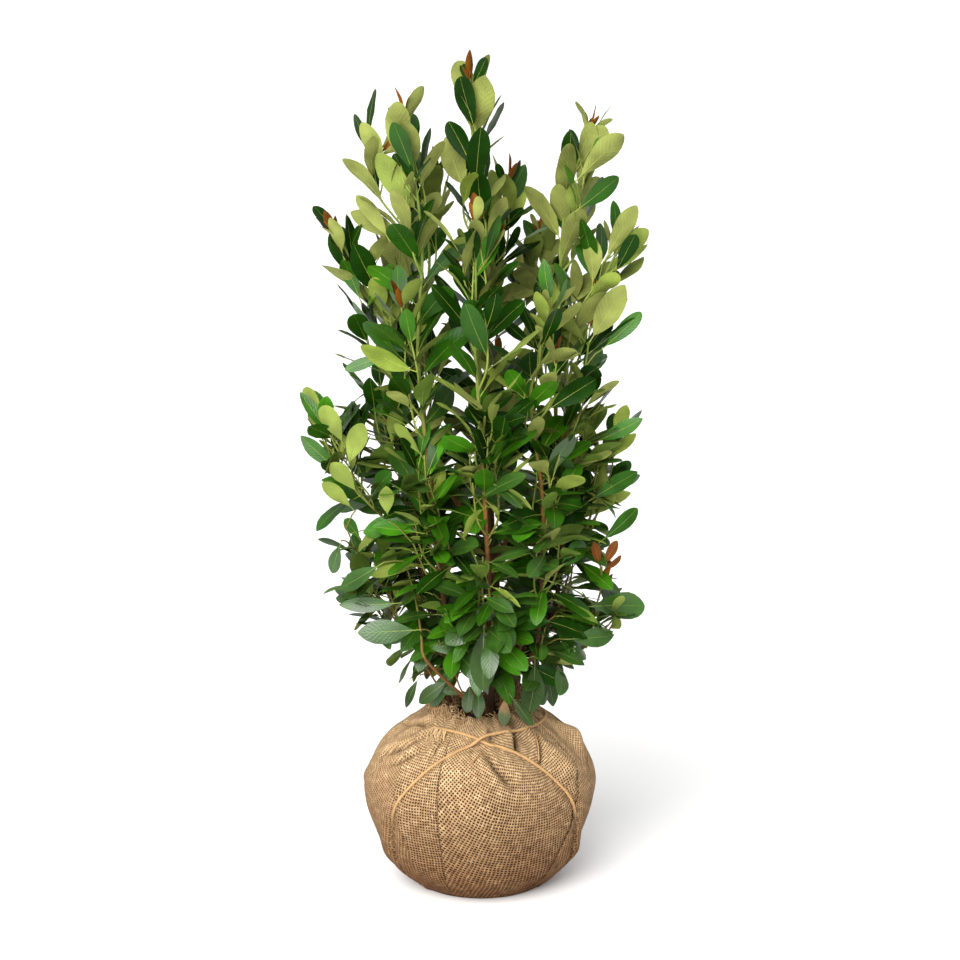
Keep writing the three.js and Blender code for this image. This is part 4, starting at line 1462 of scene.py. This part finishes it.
def leaf_at(place, stem, around, spread, length, sag, upward, turned, slack=0.46):
    """One leaf's numbers, or nothing where it has no room."""
    side = square_to(around, stem)
    ahead = unit(stem * math.cos(spread) + side * math.sin(spread))
    ahead = unit(ahead - UP * (0.75 * sag * rng.uniform(-0.3, 1.5)))
    up = stem * math.sin(spread) - side * math.cos(spread)
    up = unit(up * (1 - upward) + UP * upward + side * 0.02)
    up = square_to(up, ahead)
    roll = rng.normal(0, slack)
    bend = rng.uniform(0.05, 0.38) + 0.5 * sag * rng.uniform(0, 1)
    if rng.uniform() < turned:
        roll, bend = roll + math.pi, -0.4 * bend
    up = unit(rolled(up, ahead, roll))
    stalk = rng.uniform(0.007, 0.012)
    start = place + ahead * (stalk + 0.001)
    tip = start + ahead * length * math.cos(bend * 0.55) - up * length * math.sin(bend * 0.42)
    if too_far(tip):
        return None
    return blade_row(start, ahead, up, length, bend, stalk)


LOWEST_LEAF = 0.345  # no shoot bears a leaf lower than this
for shoot in shoots:
    line, leads = shoot["line"], shoot["leads"]
    run = run_along(line)
    spin, spray = rng.uniform(0, 2 * math.pi), rng.uniform()
    first = np.interp(line[-1][2], (0.85, 1.0), (0.024, 0.056)) if leads else 0.003
    at = run[-1] - first - rng.uniform(0.0, 0.012)
    if leads and line[-1][2] > 0.9:
        # Two small narrow leaves stand just under the leading bud.
        stem = unit(line[-1] - line[-4])
        for k in range(2):
            side = outward_at(spin + 2.6 * k, 0.05)
            at_bud = line[-1] - stem * rng.uniform(0.008, 0.022)
            spread, length = rng.uniform(0.35, 0.75), rng.uniform(0.034, 0.050)
            row = leaf_at(at_bud, stem, side, spread, length, 0, 0.05, 0)
            if row is not None:
                up = rolled(row["up"], row["ahead"], 0.9 * (-1) ** k)
                row.update(up=up, width=rng.uniform(0.32, 0.42), fold=rng.uniform(0.3, 0.6))
                leaf_rows["pale"].append(row)
    while at > (0.05 if leads else 0.015):
        k = min(max(np.searchsorted(run, at), 1), len(line) - 1)
        place = line[k - 1] + (line[k] - line[k - 1]) * (at - run[k - 1]) / (run[k] - run[k - 1])
        stem = unit(line[min(k + 2, len(line) - 1)] - line[max(k - 3, 0)])
        height = place[2]
        spin += GOLDEN + rng.normal(0, 0.15)
        if height < LOWEST_LEAF:
            break
        stem = unit(stem + UP * np.interp(height, (0.6, 0.9), (0.0, 0.7)))
        spread, sag, upward, turned, longest, gap, slack = (
            np.interp(height, HEIGHTS, values)
            for values in (SPREAD, SAG, UPWARD, TURNED, LENGTH, GAP, ROLL)
        )
        young = math.exp(-(run[-1] - at - first) / 0.035)
        spread = spread * (1 - 0.25 * young) + rng.normal(0, 0.13)
        length = longest * rng.uniform(0.86, 1.16) * (1 - 0.30 * young)
        side = outward_at(spin, 0.05)
        if side.dot(place - trunk_at(height)) < 0:
            turned *= 0.2  # leaves inside the crown seldom turn round
        chance = spray if rng.uniform() < 0.7 else rng.uniform()
        kind = kind_at(height + rng.normal(0, 0.04), chance)
        for _ in range(3):
            row = leaf_at(place, stem, side, spread, length, sag, upward, turned, slack)
            if row is not None:
                leaf_rows[kind].append(row)
                break
            spread *= 0.75
            length *= 0.92
        at -= gap * rng.uniform(0.75, 1.2) * (1 - 0.4 * young)

# Old leaves hang out over the neck of the ball from short spurs at the foot of the stems.
# At the front each is given by where its blade starts and ends: degrees right of the front,
# distance from the ball's axis and height. The rest are dealt round the sides and back.
OLD_LEAVES = [
    ((-68, 0.105, 0.334), (-69, 0.127, 0.291), 0.34, "old"),
    ((-41, 0.080, 0.337), (-58, 0.114, 0.303), 0.46, "old"),
    ((-26, 0.067, 0.318), (-45, 0.086, 0.325), 0.40, "old"),
    ((-14, 0.072, 0.331), (-13, 0.093, 0.296), 0.48, "old"),
    ((-5, 0.074, 0.331), (1, 0.100, 0.289), 0.42, "old"),
    ((25, 0.088, 0.318), (18, 0.110, 0.281), 0.44, "spent"),
    ((30, 0.094, 0.318), (38, 0.127, 0.277), 0.30, "old"),
    ((54, 0.102, 0.368), (43, 0.122, 0.292), 0.46, "old"),
    ((73, 0.102, 0.360), (71, 0.121, 0.291), 0.36, "old"),
    ((2, 0.132, 0.436), (0, 0.150, 0.346), 0.44, "old"),
]
leaf_rows["spent"] = []
spur_list, outer_twigs = [], []
# Radii at the foot and the tip.
SPUR, SPURLET, TWIG = (0.0016, 0.0009), (0.0013, 0.0010), (0.0014, 0.0010)
SUCKER, STOUT = (0.0017, 0.001105), (0.0030, 0.0012)


def spot(degrees, away, height):
    """A place by degrees right of the front, distance from the axis and height."""
    return away * outward_at(front_turn(degrees)) + UP * height


def spur_to(end, number):
    """A short spur that rises out of a stem's foot and bends over to a leaf."""
    start = trunk_at(min(0.350, end[2] - 0.006)) + unit(end * LEVEL) * 0.004
    spur = curve_through([start, start * 0.45 + end * 0.55 + 0.010 * UP, end])
    spur_list.append(limb(spur, taper(spur, *SPUR), 6, 300 + number))


def given_leaf(foot, tip, face, width, bend, stalk):
    """A leaf's numbers from where its blade starts and ends, and the way that it faces."""
    ahead = unit(tip - foot)
    row = blade_row(foot, ahead, square_to(face, ahead), np.linalg.norm(tip - foot), bend, stalk)
    row["width"] = width
    return row


for number, (foot, tip, width, kind) in enumerate(OLD_LEAVES):
    foot, tip = spot(*foot), spot(*tip)
    face = unit(foot * LEVEL) + np.array([rng.normal(0, 0.2), -0.9, 0.25])
    row = given_leaf(foot, tip, face, width, rng.uniform(0.1, 0.3), 0.008)
    leaf_rows[kind].append(row)
    spur_to(foot - row["ahead"] * row["stalk"], number)
# Thin red-brown shoots rise out of the soil beside the trunk, from one place to another.
SUCKERS = [
    ((10, 0.050, 0.284), (-20, 0.066, 0.392)),
    ((-4, 0.056, 0.286), (-34, 0.072, 0.352)),
    ((38, 0.050, 0.284), (26, 0.070, 0.400)),
    ((-60, 0.052, 0.288), (-66, 0.118, 0.402)),
]
# A stouter one, from place to place, leans out to the left and then turns up into the leaves.
STOUT_SHOOT = [
    (-14, 0.052, 0.284),
    (-25, 0.061, 0.309),
    (-42, 0.101, 0.356),
    (-46, 0.122, 0.385),
    (-47, 0.124, 0.416),
    (-50, 0.130, 0.473),
    (-54, 0.140, 0.526),
]


def crosses(row, path):
    """Whether a path runs through a leaf's blade."""
    ahead, up = row["ahead"], row["up"]
    away = path - row["place"]
    height = away @ up
    through = np.nonzero(height[:-1] * height[1:] < 0)[0]
    along = away[through] @ ahead / row["length"]
    beside = np.abs(away[through] @ np.cross(up, ahead)) / row["length"]
    return bool(np.any((along > 0.12) & (along < 1.1) & (beside < 0.26)))


for number, (low, high) in enumerate(SUCKERS):
    low, high = spot(*low), spot(*high)
    way = curve_through([low, low * 0.5 + high * 0.5 + rng.normal(0, 0.004, 3), high])
    spur_list.append(limb(way, taper(way, *SUCKER), 9, 340 + number))
way = curve_through([spot(*place) for place in STOUT_SHOOT])
spur_list.append(limb(way, taper(way, *STOUT), 9, 350))
for kind, rows in leaf_rows.items():
    leaf_rows[kind] = [row for row in rows if not crosses(row, way[way[:, 2] < 0.42])]

# The leaves that make the outline's furthest tips, given in the same way, each on a twig of
# its own from the nearest limb. Those marked "under" show their undersides.
OUTER_LEAVES = [
    ((-74, 0.228, 0.712), (-77, 0.281, 0.784), 0.22, "green"),
    ((-75, 0.230, 0.672), (-78, 0.280, 0.716), 0.36, "green"),
    ((-74, 0.146, 0.838), (-78, 0.210, 0.818), 0.28, "green"),
    ((-68, 0.224, 0.714), (-70, 0.251, 0.770), 0.50, "deep under"),
    ((-63, 0.221, 0.685), (-58, 0.211, 0.748), 0.48, "deep under"),
    ((-62, 0.212, 0.642), (-65, 0.246, 0.687), 0.50, "deep under"),
    ((-68, 0.212, 0.614), (-72, 0.252, 0.650), 0.46, "deep under"),
    ((-47, 0.190, 0.612), (-46, 0.198, 0.657), 0.52, "deep under"),
    ((-66, 0.232, 0.558), (-74, 0.238, 0.508), 0.36, "shade"),
    ((-54, 0.160, 0.468), (-66, 0.236, 0.462), 0.28, "shade"),
    ((-45, 0.142, 0.428), (-61, 0.214, 0.424), 0.44, "shade"),
    ((-48, 0.205, 0.536), (-62, 0.240, 0.490), 0.38, "shade"),
    ((-74, 0.122, 1.010), (-78, 0.194, 1.060), 0.36, "pale under"),
    ((-70, 0.150, 1.020), (-72, 0.188, 1.082), 0.34, "pale under"),
    ((80, 0.150, 1.105), (84, 0.214, 1.166), 0.46, "pale under"),
    ((84, 0.150, 1.058), (88, 0.208, 1.102), 0.40, "deep"),
    ((80, 0.192, 0.988), (82, 0.236, 1.062), 0.40, "pale under"),
    ((76, 0.174, 0.868), (77, 0.226, 0.944), 0.46, "pale under"),
    ((84, 0.190, 0.850), (82, 0.245, 0.900), 0.32, "green"),
    ((80, 0.180, 0.706), (78, 0.250, 0.742), 0.30, "green"),
    ((66, 0.180, 0.458), (77, 0.257, 0.462), 0.50, "shade"),
    ((58, 0.160, 0.410), (72, 0.216, 0.408), 0.44, "shade"),
    ((70, 0.192, 0.518), (65, 0.187, 0.558), 0.36, "bronze"),
    ((71, 0.196, 0.520), (72, 0.218, 0.558), 0.38, "bronze"),
    ((72, 0.196, 0.512), (77, 0.222, 0.530), 0.34, "bronze"),
    ((72, 0.196, 0.560), (80, 0.246, 0.602), 0.34, "deep"),
    ((76, 0.176, 0.620), (84, 0.240, 0.660), 0.34, "deep"),
]
for number, (foot, tip, width, kind) in enumerate(OUTER_LEAVES):
    foot, tip = spot(*foot), spot(*tip)
    face = unit(foot * LEVEL + np.array([rng.normal(0, 0.15), -0.8, 0]))
    face = face + UP * rng.uniform(-0.1, 0.35)
    kind, *under = kind.split()
    if under:
        face = -unit(foot * LEVEL + np.array([0, -0.8, 0])) + 0.4 * UP
    row = given_leaf(foot, tip, face, width, rng.uniform(0.05, 0.25), 0.010)
    if kind == "bronze":
        row.update(fold=rng.uniform(0.3, 0.6), stalk=0.003)
        bronze_rows.append(row)
    else:
        leaf_rows[kind].append(row)
    end = foot - row["ahead"] * row["stalk"]
    lines = [shoot["line"] for shoot in shoots]
    spots = np.concatenate([line[line[:, 2] < end[2] - 0.012] for line in lines])
    start = spots[np.linalg.norm(spots - (end - 0.03 * UP), axis=1).argmin()]
    twig = curve_through([start, start * 0.4 + end * 0.6 + 0.004 * UP, end])
    outer_twigs.append(limb(twig, taper(twig, *TWIG), 6, 500 + number))
piece("outer_twigs", *joined(outer_twigs), [young_bark], "bark")

# Low on the outer side of each stem, short spurs bear two or three drooping leaves.
for name in stem_names:
    line = stems[name][0]
    for height in np.arange(0.43, 0.66, 0.036):
        base = line[np.abs(line[:, 2] - height - rng.uniform(-0.010, 0.010)).argmin()]
        out = unit((base - trunk_at(base[2])) * LEVEL)
        aside = np.cross(UP, out)
        out = unit(out + aside * rng.normal(0, 0.5))
        end = base + out * rng.uniform(0.012, 0.030) + UP * rng.uniform(0.006, 0.016)
        spur = curve_through([base, base * 0.5 + end * 0.5 - 0.002 * UP, end], 0.004)
        spur_list.append(limb(spur, taper(spur, *SPURLET), 6, 400 + len(spur_list)))
        for k in range(2 + (rng.uniform() < 0.4)):
            way = unit(out + aside * rng.uniform(0.6, 1.6) * (-1) ** k)
            spread, length = rng.uniform(1.3, 1.7), rng.uniform(0.058, 0.082)
            row = leaf_at(end, UP, way, spread, length, 0.5, 0.55, 0)
            if row is not None:
                leaf_rows[kind_at(base[2], rng.uniform())].append(row)
# Round the sides and back of the neck, spurs bear old leaves that hang.
SPURS = 15
for i in range(SPURS):
    out = outward_at(front_turn(85 + 190 * (i + rng.uniform(-0.3, 0.3)) / (SPURS - 1)))
    end = out * rng.uniform(0.060, 0.100)
    end = end + UP * rng.uniform(0.345, 0.385)
    spur_to(end, 20 + i)
    for k in range(2 if i % 3 else 1):
        fall = rng.uniform(0.2, 0.6) if k else rng.uniform(0.75, 1.25)
        aside = out * math.cos(0.7 * k) + np.cross(UP, out) * math.sin(0.7 * k) * (-1) ** i
        row = leaf_at(end, -UP, aside, 1.45 - fall, rng.uniform(0.045, 0.080), 0, 0.2, 0)
        if row is not None:
            row["up"] = square_to(aside + 0.35 * UP, row["ahead"])
            leaf_rows["shade" if rng.uniform() < 0.4 else "old"].append(row)
red_stops = [
    (0.0, (0.105, 0.042, 0.015)),
    (0.3, (0.15, 0.066, 0.018)),
    (0.5, (0.17, 0.16, 0.03)),
    (1.0, (0.20, 0.22, 0.04)),
]
red_bark = bark_material("red_brown_shoots", red_stops, 0.28, 0.60, 0.0008)
piece("hanging_spurs", *joined(spur_list), [red_bark], "bark")

MOST_LEAVES = 600  # in one piece, to keep it under 200,000 triangles
foliage_names = sorted(masses)
for kind, (upper, under, stalk) in LEAF_KINDS.items():
    name, gloss, veins = f"leaf_{kind}", LEAF_GLOSS[kind], tinted(upper, 1.6, 0.01)
    materials = [
        leaf_material(f"{name}_above", upper, veins, 0.25, 0.30, 0.00010, gloss),
        leaf_material(f"{name}_below", under, tinted(under, 1.22), 0.50, 0.65, 0.0002, 0.1),
        plain_stalk(f"{name}_stalk", stalk),
    ]
    for part in range(0, len(leaf_rows[kind]), MOST_LEAVES):
        chosen = leaf_rows[kind][part : part + MOST_LEAVES]
        leaf_piece(f"leaves_{kind}_{part // MOST_LEAVES + 1}", chosen, materials, foliage_names)
        foliage_names = []

# One old leaf at the neck is going: tan from its stalk to the middle, still green beyond.
spent_leaf, tree, shader = node_material("spent_leaf", 0.6)
place = add_node(tree, "ShaderNodeTexCoord").outputs
along = add_node(tree, "ShaderNodeSeparateXYZ", {0: place["UV"]}).outputs[0]
mottle = noise(tree, place["Object"], 160.0, 3.0)
uneven = maths(tree, "MULTIPLY", maths(tree, "SUBTRACT", mottle, 0.5), 0.5)
spent = [(0.25, (0.24, 0.135, 0.055)), (0.48, (0.15, 0.105, 0.038)), (0.68, (0.045, 0.075, 0.022))]
spent = ramp(tree, maths(tree, "ADD", along, uneven), spent)
surface(tree, shader, spent, bump(tree, mottle, 0.0006))
leaf_piece("spent_leaf", leaf_rows["spent"], [spent_leaf])

# ---- The bronze young leaves ----
# At the tip of each leading shoot the newest leaves stand upright, narrow, still folded
# along the midrib and red-brown.

for shoot in shoots:
    line = shoot["line"]
    if shoot["leads"] and not shoot["name"].startswith("upper_"):
        count = 3 if line[-1][2] > 0.95 or shoot["name"] == "right_skirt" else 0
    else:
        count = 2 if rng.uniform() < 0.22 and line[-1][2] > 0.80 else 0
    stem = unit(line[-1] - line[-4])
    spin = rng.uniform(0, 6.28)
    for i in range(count):
        spin += GOLDEN
        side = square_to(outward_at(spin), stem)
        spread = 0.10 + 0.20 * i + rng.normal(0, 0.05)
        ahead = unit(stem * math.cos(spread) + side * math.sin(spread))
        up = square_to(unit(stem * math.sin(spread) - side * math.cos(spread)), ahead)
        length = rng.uniform(0.040, 0.050) * (1 - 0.16 * i)
        foot = line[-1] - stem * (0.001 + 0.004 * i) + ahead * 0.002
        row = blade_row(foot, ahead, up, length, 0, 0.003)
        row.update(
            width=rng.uniform(0.30, 0.38),
            full=rng.uniform(-0.05, 0.20),
            blunt=rng.uniform(0.75, 0.95),
            bend=rng.uniform(-0.10, 0.20),
            fold=rng.uniform(0.35, 0.8),
            lift=0.0,
            cup=0.5,
            twist=rng.normal(0, 0.12),
            sway=rng.normal(0, 0.03),
            hang=0.0,
        )
        bronze_rows.append(row)
above, above_veins = (0.125, 0.036, 0.004), (0.22, 0.09, 0.012)
below, below_veins = (0.18, 0.062, 0.006), (0.12, 0.038, 0.005)
materials = [
    leaf_material("bronze_above", above, above_veins, 0.3, 0.36, 0.0002, 0.10),
    leaf_material("bronze_below", below, below_veins, 0.3, 0.5, 0.0002, 0.05),
    plain_stalk("bronze_stalk", (0.30, 0.20, 0.06)),
]
leaf_piece("bronze_leaves", bronze_rows, materials)

# ---- The studio ----
# A pale floor, a background that shows white to the camera, and large soft lamps.

floor_mesh = bpy.data.meshes.new("floor")
floor_mesh.from_pydata([(-60, -60, 0), (60, -60, 0), (60, 60, 0), (-60, 60, 0)], [], [(0, 1, 2, 3)])
floor_material, tree, shader = node_material("pale_floor", 0.9)
shader.inputs["Base Color"].default_value = (0.93, 0.93, 0.93, 1)
floor_mesh.materials.append(floor_material)
floor = new_object("floor", floor_mesh)

# The room is lit from above and in front. The background is white only to look at.
world = bpy.data.worlds.new("studio")
world.use_nodes = True
bpy.context.scene.world = world
tree = world.node_tree
facing = add_node(tree, "ShaderNodeTexCoord").outputs["Generated"]
above = ranged(tree, height_of(tree, facing), 0.2, 0.9, 0.43, 0.92)
seen = add_node(tree, "ShaderNodeLightPath").outputs["Is Camera Ray"]
white = maths(tree, "MULTIPLY", seen, 1.1)
tree.links.new(maths(tree, "MAXIMUM", white, above), tree.nodes["Background"].inputs["Strength"])
tree.nodes["Background"].inputs["Color"].default_value = (1.0, 1.0, 1.0, 1)


def aimed(thing, way):
    """Point a lamp or a camera a way."""
    thing.rotation_mode = "QUATERNION"
    thing.rotation_quaternion = way.to_track_quat("-Z", "Y")


key = bpy.data.lights.new("key", "SUN")
key.energy = 3.42
key.angle = math.radians(50)
key.color = (1.0, 0.985, 0.96)
aimed(new_object("key", key), Vector((0.36, 0.74, -0.62)))

# A large soft lamp beside the camera opens up the shade inside the crown.
fill = bpy.data.lights.new("fill", "AREA")
fill.shape = "SQUARE"
fill.size = 1.8
fill.energy = 75
fill_lamp = new_object("fill", fill)
fill_lamp.location = (-0.9, -3.4, 1.5)
aimed(fill_lamp, Vector((0, 0, 0.55)) - fill_lamp.location)
fill_lamp.visible_camera = False

# ---- The camera ----
# Eye height, a little over three and a half metres off.

EYE = Vector((-0.0015, -3.6, 1.31))
AIM = Vector((-0.0015, 0, 0.64))
camera_data = bpy.data.cameras.new("camera")
camera_data.sensor_width = 36.0
camera_data.lens = 89.4
camera = new_object("camera", camera_data)
camera.location = EYE
aimed(camera, AIM - EYE)
bpy.context.scene.camera = camera
bpy.context.scene.view_settings.view_transform = "Standard"
